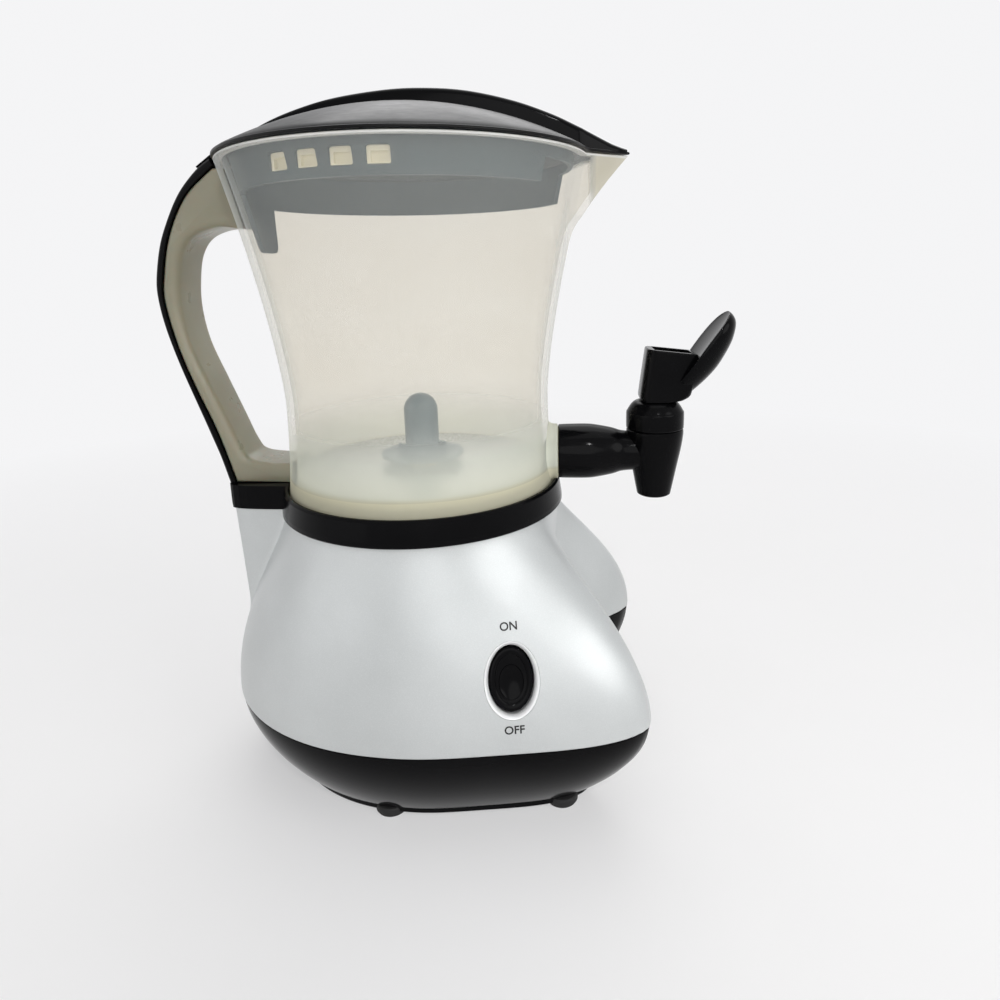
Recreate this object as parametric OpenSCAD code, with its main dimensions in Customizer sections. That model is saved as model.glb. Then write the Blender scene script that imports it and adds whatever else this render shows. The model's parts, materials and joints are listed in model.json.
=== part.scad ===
// Countertop hot chocolate maker: a two-lobed base, a fixed froth jug and a lever tap.
// Millimetres, Z up. The tap points along +X. Each piece is drawn with the jug's axis on Z, and placed() then
// sets the origin on the table, midway between the back of the handle and the tip of the tap's lever.

/* [Base] */
// Height of a rubber foot
foot_h = 4.5; // [3:0.5:7]
// Diameter of a rubber foot
foot_d = 10; // [8:0.5:13]
// Height of the black tray, from the feet to the seam
tray_h = 38.8; // [34:0.2:44]
// Share of the plan by which the tray draws in at its bottom
tray_draw = 0.245; // [0.2:0.005:0.27]
// Height of the silver housing, from the seam to the neck
house_h = 79; // [72:1:88]
// Half width of the base beside the jug
side_r = 77.8; // [74:0.2:84]
// Distance from the axis to the back of the base
rear_r = 90; // [87:0.2:95]
// How far each front lobe reaches out further
lobe_out = 35.3; // [28:0.1:42]
// Angle of a front lobe from the tap's direction
lobe_a = 29.8; // [28:0.1:33]
// Angular width of a front lobe
lobe_w = 23.6; // [21:0.1:26]
// Distance from the axis to the wall between the lobes
notch_r = 57; // [54:0.5:60]
// Fullness of the bell from neck to seam, higher is leaner
bell_e = 1.25; // [1.1:0.01:1.5]
// Wall of the housing, measured level
shell_t = 3.2; // [2.6:0.1:3.6]

/* [Jug] */
// Height of the jug
jug_h = 144.6; // [130:0.2:160]
// Radius of the jug's waist
waist_r = 57.6; // [55:0.1:60]
// Radius of the jug's rim
rim_r = 76.1; // [72:0.1:80]
// Wall of the jug
wall_t = 3; // [2.4:0.1:3.4]
// Reach of the pouring beak beyond the rim
beak_out = 16.4; // [12:0.2:20]
// Width of the beak at the rim
beak_w = 27; // [22:0.5:32]
// Height of the black collar round the jug's foot
collar_h = 10.8; // [9.6:0.1:12]

/* [Handle] */
// Reach of the handle beyond the jug's flare
handle_reach = 45.85; // [41:0.05:52]
// Width of the handle
handle_w = 23; // [20:0.5:27]

/* [Lid] */
// Rise of the lid's dome
dome_h = 19.2; // [15:0.1:24]
// Width of the raised strip along the lid
spine_w = 26; // [22:0.5:30]
// Height of that strip above the dome
spine_h = 5; // [4:0.1:6]
// Depth of the lid's skirt below the rim
skirt_h = 16.4; // [14:0.2:19]
// Windows in the near side of the skirt
slot_count = 4; // [2:1:5]

/* [Tap] */
// Distance from the jug's axis to the tap's barrel
tap_reach = 105.2; // [102:0.2:112]
// Largest diameter of the barrel
barrel_d = 25.4; // [24.4:0.2:27]
// Lift of the stem for one radian of lever
cam_lift = 9; // [8:0.2:10]
// Turn of the lever in degrees
lever_turn = 35; // [25:1:36]
// Width of the lever's spoon
spoon_w = 26; // [22:0.5:30]

/* [Switch] */
// Angle of the rocker switch round the base
switch_a = -57.7; // [-66:0.1:-54]
// Height of the rocker's middle above the seam
switch_up = 28.6; // [26:0.2:33]
// Width of the rocker
rocker_w = 17.2; // [15:0.2:18]
// Height of the rocker
rocker_h = 24.4; // [22:0.2:28]

/* [Drive] */
// Diameter of the froth shaft
shaft_d = 6; // [5:0.1:6.4]
// Diameter of the froth hub
hub_d = 15.2; // [13:0.2:18]
// Height of the froth hub
hub_h = 28.7; // [24:0.1:34]
// Diameter of the motor
motor_d = 38; // [34:0.5:40]

/* [Hidden] */
$fn = 72;
seat_gap = 0.2;
move_gap = 0.3;
run_gap = 0.04;
press_gap = 0.02;

// Heights, from the table up
seam_z = foot_h + tray_h;
house_z = seam_z + move_gap;
neck_z = house_z + house_h;
collar_z = neck_z + seat_gap;
collar_floor = 2.6;
collar_top = collar_z + collar_h;
jug_z = collar_z + collar_floor + seat_gap;
rim_z = jug_z + jug_h;
flange_z = jug_z + 7.4;
flange_t = 3;
floor_z = flange_z + flange_t;
seal_z = floor_z + 0.1;
seal_t = 2.3;
plate_z = seal_z + seal_t + 0.1;
plate_t = 1.6;
plate_top = plate_z + plate_t;

// Base plan: a rounded body, two lobes in front and a hollow between them
foot_flare = 2.6;
jug_foot_r = waist_r + foot_flare;
neck_r = jug_foot_r + 1.3;
lobe_e = 1.54;
notch_k = 55.6;
notch_q = 3.18;
lip_w = 9;
lip_t = 2.2;
tray_t = 3;
tongue_h = 3;
tongue_t = 1.6;
tongue_in = shell_t + move_gap;
riser_back = neck_r + 24.5;
riser_hw = handle_w / 2 + 5.5;
riser_lean = 0.045;

function fold(a) = a > 180 ? 360 - a : abs(a);
function soft_min(a, b, p) = pow(pow(a, -p) + pow(b, -p), -1 / p);
function body_r(q) = side_r + (q > 90 ? (rear_r - side_r) * pow(cos(q), 2) : 0);
function lobe_r(q) = lobe_out * exp(-pow(abs(q - lobe_a) / lobe_w, lobe_e));
function notch_at(q) = notch_r + notch_k * pow(q / 25, notch_q);
function seam_r(a) = soft_min(body_r(fold(a)) + lobe_r(fold(a)), notch_at(fold(a)), 16);
function riser_r(b) = b > 60 ? 1 : soft_min(riser_back / cos(b), riser_hw / max(sin(b), 0.001), 9);
function riser_at(b, z) = max(riser_r(b) - riser_lean * (neck_z - z), 1);
function bell_r(a, z) = neck_r + (seam_r(a) - neck_r) * pow(sin(90 * (neck_z - z) / house_h), bell_e);
function soft_max(a, b, p) = pow(pow(a, p) + pow(b, p), 1 / p);
function house_r(a, z) = soft_max(bell_r(a, z), riser_at(180 - fold(a), z), 80);
function tray_s(z) = 1 - tray_draw * pow(max(0, 1 - (z - foot_h) / tray_h), 1.7);
function tray_r(a, z) = (seam_r(a) - 0.4) * tray_s(z);
plan_a = concat([for (a = [0 : 4 : 160]) a], [for (a = [162 : 2 : 198]) a], [for (a = [200 : 4 : 356]) a]);
function house_loop(z, inset) = [
    for (a = plan_a)
        let (r = house_r(a, z) - inset) [r * cos(a), r * sin(a), z]
];
function tray_loop(z, inset) = [
    for (a = plan_a)
        let (r = tray_r(a, z) - inset) [r * cos(a), r * sin(a), z]
];

// Curves through a few points
function bend(p, q, r, s, t) =
    0.5 * (2 * q + (r - p) * t + (2 * p - 5 * q + 4 * r - s) * t * t + (3 * q - p - 3 * r + s) * t * t * t);
function curve(pts, n) = concat([
    for (i = [0 : len(pts) - 2])
        for (k = [0 : n - 1])
            bend(pts[max(i - 1, 0)], pts[i], pts[i + 1], pts[min(i + 2, len(pts) - 1)], k / n)
], [pts[len(pts) - 1]]);
function oval(a, b, n = 48) = [for (i = [0 : n - 1]) [a * cos(i * 360 / n), b * sin(i * 360 / n)]];
function unit(v) = v / norm(v);

// Jug profile
waist_z = jug_z + 0.32 * jug_h;
function flare_r(z) = waist_r + (rim_r - waist_r) * pow((z - waist_z) / (rim_z - waist_z), 1.42);
function foot_r(z) = waist_r + foot_flare * pow((waist_z - z) / (waist_z - jug_z), 2);
function jug_r(z) = z > waist_z ? flare_r(z) : foot_r(z);
function jug_in(z) = jug_r(z) - wall_t;
flange_in = waist_r - wall_t - 9;
plate_r = jug_in(plate_z) - 0.5;

// Tap, from the inlet just above the plate
inlet_d = 7;
tap_z = plate_top + inlet_d / 2 + 0.9;
boss_d = barrel_d - 0.6;
boss_x = jug_r(tap_z) + 3.4;
washer_t = 1.2;
spigot_d = 10;
spigot_l = 5;
shank_x = boss_x + washer_t + 2 * 0.1;
barrel_z = tap_z - 20.4;
bonnet_z = tap_z + 10.5;
bonnet_h = 12.4;
bonnet_top = bonnet_z + bonnet_h;
stem_d = 5.6;
cam_h = 6.8;
pivot_z = bonnet_top + move_gap + cam_h;
pin_d = 2.6;
yoke_w = 17;
stem_over = 3.2;

// Lid, counted from the rim
lid_gap = move_gap;
lid_z = rim_z + lid_gap;
lid_r = rim_r + 0.6;
edge_h = 1.8;
lid_t = 2.2;
beak_x = rim_r + beak_out;
function dome_z(r) = lid_z + edge_h + dome_h * (1 - pow(r / lid_r, 2));
skirt_r = jug_in(rim_z) - 2.6;
skirt_t = 2;
skirt_z = rim_z - skirt_h;
skirt_in = 0.776 * (jug_in(rim_z) - jug_in(skirt_z)) / skirt_h;
skirt_top = dome_z(skirt_r) - lid_t - 0.5;
function skirt_at(z) = skirt_r - skirt_in * (skirt_top - z);
near_h = 0.787 * skirt_h;
window_a = 86;
window_step = 10.7;
window_w = 8.2;
window_h = 6.2;
window_z = rim_z - 9.6;

// Handle, between the collar's plate and the rim: u is a share of its reach, v of its height
grip_z = collar_top + seat_gap;
function grip(u, v) = [
    -(waist_r + (rim_r - waist_r) * v * v + u * handle_reach),
    grip_z + v * (rim_z - grip_z)
];

// Switch place on the housing
switch_z = house_z + switch_up;
function skin(a, z) = [house_r(a, z) * cos(a), house_r(a, z) * sin(a), z];
switch_n = unit(cross(skin(switch_a + 1, switch_z) - skin(switch_a - 1, switch_z),
    skin(switch_a, switch_z + 1) - skin(switch_a, switch_z - 1)));
switch_u = unit([-switch_n[1], switch_n[0], 0]);
switch_v = cross(switch_n, switch_u);
switch_p = skin(switch_a, switch_z);
face_in = 1.2;
rock_gap = 0.8;
frame_t = 1.5;
frame_d = 13;
rock_axis = 6;

// Drive stack on the axis
shaft_r = shaft_d / 2;
bush_r = shaft_r + 3;
bush_top = plate_top + seat_gap + 2;
hub_z = bush_top + 1;
hub_top = hub_z + hub_h;
shaft_top = hub_top - 7;
couple_z = plate_z - 51;
couple_h = 18;
shaft_low = couple_z + 10;
motor_r = motor_d / 2;
motor_h = 42;
motor_top = couple_z - 6;
motor_z = motor_top - motor_h;
motor_shaft_r = 1.6;
pan_z = foot_h + lip_t + seat_gap;
pan_t = 2.4;
pan_top = pan_z + pan_t;
stand_r = motor_r + 1.2;
stand_t = 2.8;
stand_flange = stand_r + 15.8;
screw_r = stand_r + 10.8;
board_y = 19.8 - side_r;
board_z = pan_top + 10.5;
vent_y = tray_r(90, pan_z) - 18.8;
cord_z = foot_h + tray_h / 2;
cord_x = tray_r(180, cord_z);
cord_tilt = atan((tray_r(180, cord_z + 4) - tray_r(180, cord_z - 4)) / 8);

// Where the jug's axis stands in the finished frame
spoon_out = 32.6;
axis_x = (-grip(1, 0.595)[0] - tap_reach - spoon_out) / 2;

// Moves a piece from the jug's axis to its place in the frame
module placed() {
    translate([axis_x, 0, 0])
        children();
}

// Skins a row of level loops, the last joined to the first, into one closed wall
module loft_wall(loops) {
    n = len(loops[0]);
    m = len(loops);
    pts = [for (loop = loops) each loop];
    faces = [
        for (i = [0 : m - 1], j = [0 : n - 1])
            let (k = (j + 1) % n, here = i * n, next = (i + 1) % m * n)
                each [[here + j, next + j, here + k], [here + k, next + j, next + k]]
    ];
    polyhedron(pts, faces);
}

// Stands a piece drawn in X and Z upright, centred on Y
module upright(w) {
    rotate([90, 0, 0])
        linear_extrude(w, center = true)
            children();
}

// Places a piece drawn on the switch's face
module on_switch() {
    multmatrix([
        [switch_u[0], switch_v[0], switch_n[0], switch_p[0]],
        [switch_u[1], switch_v[1], switch_n[1], switch_p[1]],
        [switch_u[2], switch_v[2], switch_n[2], switch_p[2]],
        [0, 0, 0, 1]
    ])
        translate([0, 0, -face_in])
            children();
}

// Four places on a circle
module four(r, start = 45) {
    for (i = [0 : 3])
        rotate([0, 0, start + 90 * i])
            translate([r, 0, 0])
                children();
}

// One pad under each lobe, each side and the back
module rubber_feet() {
    color([0.06, 0.06, 0.06])
        for (a = [35.7, -35.7, 101.5, -101.5, 180])
            rotate([0, 0, a])
                translate([tray_r(a, foot_h) - foot_d / 2 - 1.5, 0, 0]) {
                    cylinder(h = foot_h - 0.05, d = foot_d);
                }
}

// Black tray: a drawn-in bowl with a bottom lip and a tongue that enters the housing
module base_tray() {
    rows = 8;
    color([0.05, 0.05, 0.05])
        difference() {
            loft_wall(concat(
                [for (i = [0 : rows]) tray_loop(foot_h + tray_h * i / rows, 0)],
                [
                    tray_loop(seam_z, tongue_in),
                    tray_loop(seam_z + tongue_h, tongue_in),
                    tray_loop(seam_z + tongue_h, tongue_in + tongue_t),
                    tray_loop(seam_z - 4, tongue_in + tongue_t),
                    tray_loop(seam_z - 7, tray_t)
                ],
                [for (i = [5 : -1 : 1]) tray_loop(foot_h + lip_t + (tray_h - lip_t - 7) * i / 6, tray_t)],
                [
                    tray_loop(foot_h + lip_t, tray_t + 0.6),
                    tray_loop(foot_h + lip_t, tray_t + lip_w),
                    tray_loop(foot_h, tray_t + lip_w)
                ]
            ));
            translate([-cord_x, 0, cord_z])
                rotate([0, -90 - cord_tilt, 0])
                    cylinder(h = 20, d = 10.6, center = true);
        }
}

// Flat pan that closes the tray, with vents, screw holes and posts for the board
module bottom_pan() {
    pan = [
        for (a = plan_a)
            let (r = tray_r(a, pan_z) - tray_t - 1.4) [r * cos(a), r * sin(a)]
    ];
    color([0.09, 0.09, 0.09])
        difference() {
            union() {
                translate([0, 0, pan_z])
                    linear_extrude(pan_t)
                        polygon(pan);
                for (p = [[31, board_y + 4], [54, board_y + 20]])
                    translate([p[0], p[1], pan_z])
                        cylinder(h = board_z - pan_z - 0.1, d = 6);
            }
            four(screw_r)
                translate([0, 0, pan_z - 1])
                    cylinder(h = pan_t + 2, d = 3.4);
            for (s = [-1, 1], i = [0 : 4])
                translate([-12 - 7 * i, s * vent_y, pan_z - 1])
                    linear_extrude(pan_t + 2)
                        square([3, 14 - 2 * i], center = true);
        }
}

// Screws from below into the motor's stand
module base_screws() {
    color([0.6, 0.6, 0.62])
        four(screw_r) {
            translate([0, 0, pan_z - 2])
                difference() {
                    cylinder(h = 2, d = 6.4);
                    translate([0, 0, -0.1])
                        linear_extrude(1)
                            square([4, 0.9], center = true);
                }
            translate([0, 0, pan_z])
                cylinder(h = pan_t + 8, d = 3);
        }
}

// Rubber gland at the back, where the cord enters
module cord_gland() {
    color([0.07, 0.07, 0.07])
        translate([-cord_x, 0, cord_z])
            rotate([0, -90 - cord_tilt, 0])
                difference() {
                    union() {
                        translate([0, 0, -7])
                            cylinder(h = 8, d = 10);
                        translate([0, 0, 0.6])
                            cylinder(h = 2.4, d = 15);
                        translate([0, 0, 3])
                            cylinder(h = 4, d1 = 11, d2 = 9);
                    }
                    translate([0, 0, -8])
                        cylinder(h = 16, d = 6.4);
                }
}

// Silver housing: a loft from the round neck to the two-lobed seam, with the riser for the handle
module base_housing() {
    rows = 14;
    color([0.8, 0.81, 0.82])
        difference() {
            loft_wall(concat(
                [for (i = [0 : rows]) house_loop(house_z + house_h * i / rows, 0)],
                [for (i = [rows : -1 : 0]) house_loop(house_z + house_h * i / rows, shell_t)]
            ));
            on_switch()
                translate([0, 0, -9])
                    linear_extrude(18)
                        polygon(oval(rocker_w / 2 + frame_t + 0.7, rocker_h / 2 + rock_gap + frame_t + 0.7));
        }
}

// Oval bezel of the switch, with its well and a clip flange behind the wall
module switch_frame() {
    a = rocker_w / 2 + 0.4;
    b = rocker_h / 2 + rock_gap;
    color([0.82, 0.83, 0.84])
        on_switch()
            difference() {
                union() {
                    translate([0, 0, -frame_d])
                        linear_extrude(frame_d)
                            polygon(oval(a + frame_t, b + frame_t));
                    translate([0, 0, -9.6])
                        linear_extrude(2)
                            polygon(oval(a + frame_t + 2.4, b + frame_t + 2.4));
                }
                translate([0, 0, -frame_d + 1.6])
                    linear_extrude(frame_d)
                        polygon(oval(a, b));
                translate([0, 0, -rock_axis])
                    rotate([0, 90, 0])
                        cylinder(h = 2 * (a + 1), d = 3 + 2 * run_gap, center = true);
            }
}

// Dished rocker on two trunnions
module switch_rocker() {
    a = rocker_w / 2;
    b = rocker_h / 2;
    color([0.04, 0.04, 0.04])
        on_switch()
            difference() {
                union() {
                    translate([0, 0, -8.5])
                        linear_extrude(8)
                            polygon(oval(a, b));
                    translate([0, 0, -rock_axis])
                        rotate([0, 90, 0])
                            cylinder(h = 2 * (a + 1), d = 3, center = true);
                }
                translate([0, 0, -1.9])
                    linear_extrude(3)
                        polygon(oval(a - 2.4, b - 3));
                translate([0, 0, 33])
                    rotate([0, 90, 0])
                        cylinder(h = 2 * a - 4.8, r = 35.8, center = true, $fn = 120);
            }
}

// Contact block behind the rocker
module switch_block() {
    color([0.75, 0.72, 0.62])
        on_switch() {
            translate([-6, -9, -frame_d - 10])
                cube([12, 18, 10 - seat_gap]);
            for (y = [-6, 0, 6])
                translate([-2.4, y - 0.4, -frame_d - 16])
                    cube([4.8, 0.8, 6.1]);
        }
}

// Black collar round the jug's foot, with the plate that carries the handle
module neck_collar() {
    in_r = jug_foot_r + 0.25;
    color([0.04, 0.04, 0.04])
        difference() {
            union() {
                translate([0, 0, collar_z])
                    rotate_extrude()
                        polygon([
                            [jug_foot_r - 10, 0], [neck_r + 1.6, 0], [neck_r + 2, 0.5], [neck_r + 1.9, 2.4],
                            [neck_r + 0.8, collar_h - 1], [neck_r, collar_h], [neck_r - 2, collar_h],
                            [neck_r - 2, collar_floor], [jug_foot_r - 10, collar_floor]
                        ]);
                translate([0, 0, collar_z])
                    linear_extrude(collar_h)
                        polygon(concat(
                            [[-neck_r + 3, riser_hw + 0.5]],
                            [
                                for (b = [14 : -1 : -14])
                                    let (r = riser_r(abs(b)) + 1.4) [-r * cos(b), r * sin(b)]
                            ],
                            [[-neck_r + 3, -riser_hw - 0.5]]
                        ));
            }
            translate([0, 0, collar_z + collar_floor])
                cylinder(h = collar_h, r = in_r, $fn = 120);
            translate([-riser_back - 1.4, 0, collar_top])
                rotate([0, -8.4, 0])
                    translate([-10, -30, -20])
                        cube([10, 60, 21]);
            translate([neck_r - 9, 0, tap_z])
                rotate([0, 90, 0])
                    cylinder(h = 20, d = boss_d + 1);
        }
}

// V-shaped beak, as a stack of three triangles that narrows down the wall
module beak(inset, over) {
    rows = [
        [rim_z + over, beak_w / 2, beak_x + over * 0.7],
        [rim_z - 18.5, beak_w * 0.32, jug_r(rim_z - 18.5) + 6],
        [rim_z - 35 + 3 * inset, 2, jug_r(rim_z - 35) + 1.2]
    ];
    pts = [
        for (r = rows)
            let (z = r[0], hw = max(r[1] - inset, 0.6), tip = r[2] - 1.6 * inset, far = jug_r(z) - 6)
            let (wall = sqrt(pow(jug_r(z), 2) - pow(hw, 2)), root = hw * (tip - far) / max(tip - wall, 0.8))
                each [[far, -min(root, hw + 9), z], [tip, 0, z], [far, min(root, hw + 9), z]]
    ];
    polyhedron(pts, [
        [2, 1, 0], [6, 7, 8], [0, 1, 4], [0, 4, 3], [1, 2, 5], [1, 5, 4], [2, 0, 3], [2, 3, 5],
        [3, 4, 7], [3, 7, 6], [4, 5, 8], [4, 8, 7], [5, 3, 6], [5, 6, 8]
    ]);
}

// Milky jug: waisted wall, seat for the hot plate, pouring beak and the boss for the tap
module jug_body() {
    rows = 22;
    color([0.9, 0.88, 0.8, 0.6])
        difference() {
            union() {
                rotate_extrude($fn = 120)
                    polygon(concat(
                        [[0, jug_z]],
                        [for (i = [0 : rows]) let (z = jug_z + jug_h * i / rows) [jug_r(z), z]],
                        [[0, rim_z]]
                    ));
                translate([waist_r - 8, 0, tap_z])
                    rotate([0, 90, 0])
                        cylinder(h = boss_x - waist_r + 8, d = boss_d);
                beak(0, 0);
            }
            rotate_extrude($fn = 120)
                polygon(concat(
                    [[0, floor_z]],
                    [for (i = [0 : rows]) let (z = floor_z + (rim_z - floor_z) * i / rows) [jug_in(z), z]],
                    [[jug_in(rim_z), rim_z + 2], [0, rim_z + 2]]
                ));
            translate([0, 0, jug_z - 1])
                cylinder(h = flange_z - jug_z + 1, r = jug_foot_r - wall_t);
            translate([0, 0, flange_z - 1])
                cylinder(h = flange_t + 2, r = flange_in);
            beak(2.2, 1);
            translate([flange_in, 0, tap_z])
                rotate([0, 90, 0])
                    cylinder(h = 30, d = inlet_d);
            translate([boss_x - spigot_l - 0.3, 0, tap_z])
                rotate([0, 90, 0])
                    cylinder(h = 30, d = spigot_d + 0.1);
        }
}

// Inner line of the handle's black strip, shared by the grip and its cover
strip_in = curve([
    grip(0.055, 1), grip(0.423, 0.915), grip(0.702, 0.799), grip(0.867, 0.682), grip(0.938, 0.594),
    grip(0.92, 0.449), grip(0.835, 0.315), grip(0.704, 0.171), grip(0.576, 0)
], 6);

// Milky grip, a C between the rim and the collar's plate
module jug_handle() {
    hole = curve([
        grip(0.038, 0.816), grip(0.24, 0.821), grip(0.483, 0.797), grip(0.641, 0.746), grip(0.744, 0.669),
        grip(0.813, 0.574), grip(0.811, 0.46), grip(0.716, 0.336), grip(0.601, 0.212), grip(0.508, 0.12),
        grip(0.42, 0.079), grip(0.203, 0.064)
    ], 6);
    wall = move_gap + 0.1;
    low = [for (i = [0 : 2]) let (z = grip_z + (hole[66][1] - grip_z) * i / 2) [-jug_r(z) - wall, z]];
    high = [for (i = [0 : 4]) let (z = hole[0][1] + (rim_z - 1 - hole[0][1]) * i / 4) [-jug_r(z) - wall, z]];
    color([0.86, 0.84, 0.74])
        upright(handle_w)
            polygon(concat(
                [for (i = [1 : len(strip_in) - 1]) strip_in[i]],
                low,
                [for (i = [len(hole) - 1 : -1 : 0]) hole[i]],
                high
            ));
}

// Black cover strip along the back of the grip
module handle_cover() {
    outer = curve([
        grip(0.079, 1.023), grip(0.24, 0.993), grip(0.483, 0.923), grip(0.699, 0.834), grip(0.842, 0.76),
        grip(0.962, 0.666), grip(1, 0.595), grip(0.999, 0.51), grip(0.95, 0.398), grip(0.873, 0.284),
        grip(0.783, 0.168), grip(0.712, 0.089), grip(0.66, 0.016), grip(0.648, 0)
    ], 6);
    n = len(strip_in) - 1;
    inner = [
        for (i = [0 : n])
            let (d = unit(strip_in[min(i + 1, n)] - strip_in[max(i - 1, 0)]))
                strip_in[i] + seat_gap * [d[1], -d[0]]
    ];
    color([0.04, 0.04, 0.04])
        upright(handle_w + 2)
            intersection() {
                polygon(concat(outer, [for (i = [n : -1 : 0]) inner[i]]));
                translate([-2 * riser_back, grip_z])
                    square([4 * riser_back, 2 * jug_h]);
            }
}

// Steel hot plate on the jug's floor, with four threaded sleeves below
module heater_plate() {
    color([0.75, 0.75, 0.74])
        difference() {
            union() {
                translate([0, 0, plate_z])
                    cylinder(h = plate_t, r = plate_r, $fn = 120);
                four(flange_in - 4.8)
                    translate([0, 0, plate_z - 5.4])
                        cylinder(h = 5.5, d = 7);
            }
            translate([0, 0, plate_z - 1])
                cylinder(h = plate_t + 2, r = bush_r + press_gap);
            four(flange_in - 4.8)
                translate([0, 0, plate_z - 6])
                    cylinder(h = 5.6, d = 3.5);
        }
}

// Silicone ring between the plate and the jug's flange
module plate_seal() {
    color([0.85, 0.4, 0.25])
        translate([0, 0, seal_z])
            rotate_extrude($fn = 120)
                polygon([
                    [flange_in + 1, 0], [plate_r - 0.6, 0], [plate_r - 0.6, seal_t], [flange_in + 5, seal_t],
                    [flange_in + 4, seal_t - 0.7], [flange_in + 3, seal_t], [flange_in + 1, seal_t]
                ]);
}

// Ring under the flange that pulls the plate down on its seal
module plate_clamp() {
    color([0.7, 0.7, 0.7])
        difference() {
            translate([0, 0, flange_z - 2.8])
                rotate_extrude()
                    polygon([
                        [flange_in - 9, 0], [flange_in + 5, 0], [flange_in + 5, 2.6], [flange_in + 2, 2.6],
                        [flange_in + 1.4, 1.8], [flange_in - 9, 1.8]
                    ]);
            four(flange_in - 4.8)
                translate([0, 0, flange_z - 4])
                    cylinder(h = 6, d = 3.5);
        }
}

// Screws that hold the clamp ring to the plate's sleeves
module clamp_screws() {
    color([0.6, 0.6, 0.62])
        four(flange_in - 4.8) {
            translate([0, 0, flange_z - 5])
                cylinder(h = 2.1, d = 6.4);
            translate([0, 0, flange_z - 3])
                cylinder(h = plate_z - flange_z + 2.6, d = 3.4);
        }
}

// Tubular element under the plate, open at the back for its two ends
module heating_element() {
    tube = 6.4;
    ring = flange_in - 16.6;
    low = plate_z - seat_gap - tube / 2;
    color([0.55, 0.5, 0.48]) {
        translate([0, 0, low])
            rotate([0, 0, 205])
                rotate_extrude(angle = 310)
                    translate([ring, 0])
                        circle(d = tube, $fn = 32);
        for (s = [-1, 1])
            rotate([0, 0, 180 + 25 * s])
                translate([ring, 0, low])
                    rotate([90 * s, 0, 0])
                        translate([0, 0, -1])
                            cylinder(h = 6, d = 3, $fn = 32);
    }
}

// Snap disc thermostat under the plate
module thermostat() {
    color([0.85, 0.82, 0.72])
        translate([-bush_r - 11.5, 0, plate_z - 7.4]) {
            cylinder(h = 7.2, d = 14);
            for (s = [-1, 1])
                translate([-0.4, s * 4 - 2, -6])
                    cube([0.8, 4, 6.1]);
        }
}

// Thermal fuse clipped beside the bush
module thermal_fuse() {
    color([0.8, 0.8, 0.82])
        translate([bush_r + 11.5, 0, plate_z - 3])
            rotate([90, 0, 0]) {
                cylinder(h = 12, d = 5, center = true);
                cylinder(h = 20, d = 1.2, center = true);
            }
}

// Brass bush through the plate, with a pocket for the shaft's seal
module shaft_bush() {
    color([0.8, 0.65, 0.35])
        difference() {
            union() {
                translate([0, 0, plate_z - 16])
                    cylinder(h = plate_top + seat_gap - plate_z + 16, r = bush_r);
                translate([0, 0, plate_top + seat_gap])
                    cylinder(h = 2, r1 = bush_r + 3.6, r2 = bush_r + 3);
            }
            translate([0, 0, plate_z - 17])
                cylinder(h = 40, r = shaft_r + run_gap);
            translate([0, 0, bush_top - 3.2])
                cylinder(h = 4, r = bush_r - 1);
        }
}

// Hexagonal nut that holds the bush from below
module bush_nut() {
    color([0.78, 0.63, 0.33])
        translate([0, 0, plate_z - 6])
            difference() {
                cylinder(h = 5.8, r = bush_r + 3.6, $fn = 6);
                translate([0, 0, -1])
                    cylinder(h = 8, r = bush_r + 0.1);
            }
}

// Lip seal in the bush's pocket
module shaft_seal() {
    color([0.1, 0.1, 0.1])
        translate([0, 0, bush_top - 3.1])
            difference() {
                cylinder(h = 2.9, r = bush_r - 1 - press_gap);
                translate([0, 0, -1])
                    cylinder(h = 5, r = shaft_r + run_gap);
                translate([0, 0, 1.4])
                    cylinder(h = 3, r1 = shaft_r + 0.3, r2 = shaft_r + 1.2);
            }
}

// Steel froth shaft
module drive_shaft() {
    color([0.7, 0.7, 0.72]) {
        translate([0, 0, shaft_low])
            cylinder(h = shaft_top - shaft_low - 0.6, d = shaft_d);
        translate([0, 0, shaft_top - 0.6])
            cylinder(h = 0.6, d1 = shaft_d, d2 = shaft_d - 1.2);
    }
}

// Froth whisk: a domed hub on a low disc with curved vanes
module froth_whisk() {
    disc_r = hub_d / 2 + 11;
    dome = hub_d / 2;
    color([0.2, 0.24, 0.26])
        difference() {
            union() {
                translate([0, 0, hub_z])
                    rotate_extrude()
                        polygon(concat(
                            [[0, 0], [disc_r - 0.6, 0], [disc_r, 0.6], [disc_r, 1.6]],
                            [[dome + 1.5, 1.8], [dome, 4]],
                            [for (i = [0 : 8]) [dome * cos(i * 10), hub_h - dome + dome * sin(i * 10)]],
                            [[0, hub_h]]
                        ));
                for (i = [0 : 5])
                    rotate([0, 0, 60 * i])
                        translate([0, -8, hub_z + 1])
                            rotate_extrude(angle = 62, start = 42)
                                translate([13, 0])
                                    square([1.4, 4.6]);
            }
            translate([0, 0, hub_z - 1])
                cylinder(h = shaft_top - hub_z + 1.2, r = shaft_r + press_gap);
        }
}

// Sleeve that joins the motor to the froth shaft
module shaft_coupling() {
    color([0.3, 0.3, 0.32])
        translate([0, 0, couple_z])
            difference() {
                rotate_extrude()
                    polygon([
                        [0, 0], [7, 0], [7.5, 0.5], [7.5, 7], [6, 8], [6, 10], [7.5, 11],
                        [7.5, couple_h - 0.5], [7, couple_h], [0, couple_h]
                    ]);
                translate([0, 0, -1])
                    cylinder(h = 10, r = motor_shaft_r + press_gap);
                translate([0, 0, shaft_low - couple_z - 0.2])
                    cylinder(h = couple_h, r = shaft_r + press_gap);
            }
}

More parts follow.
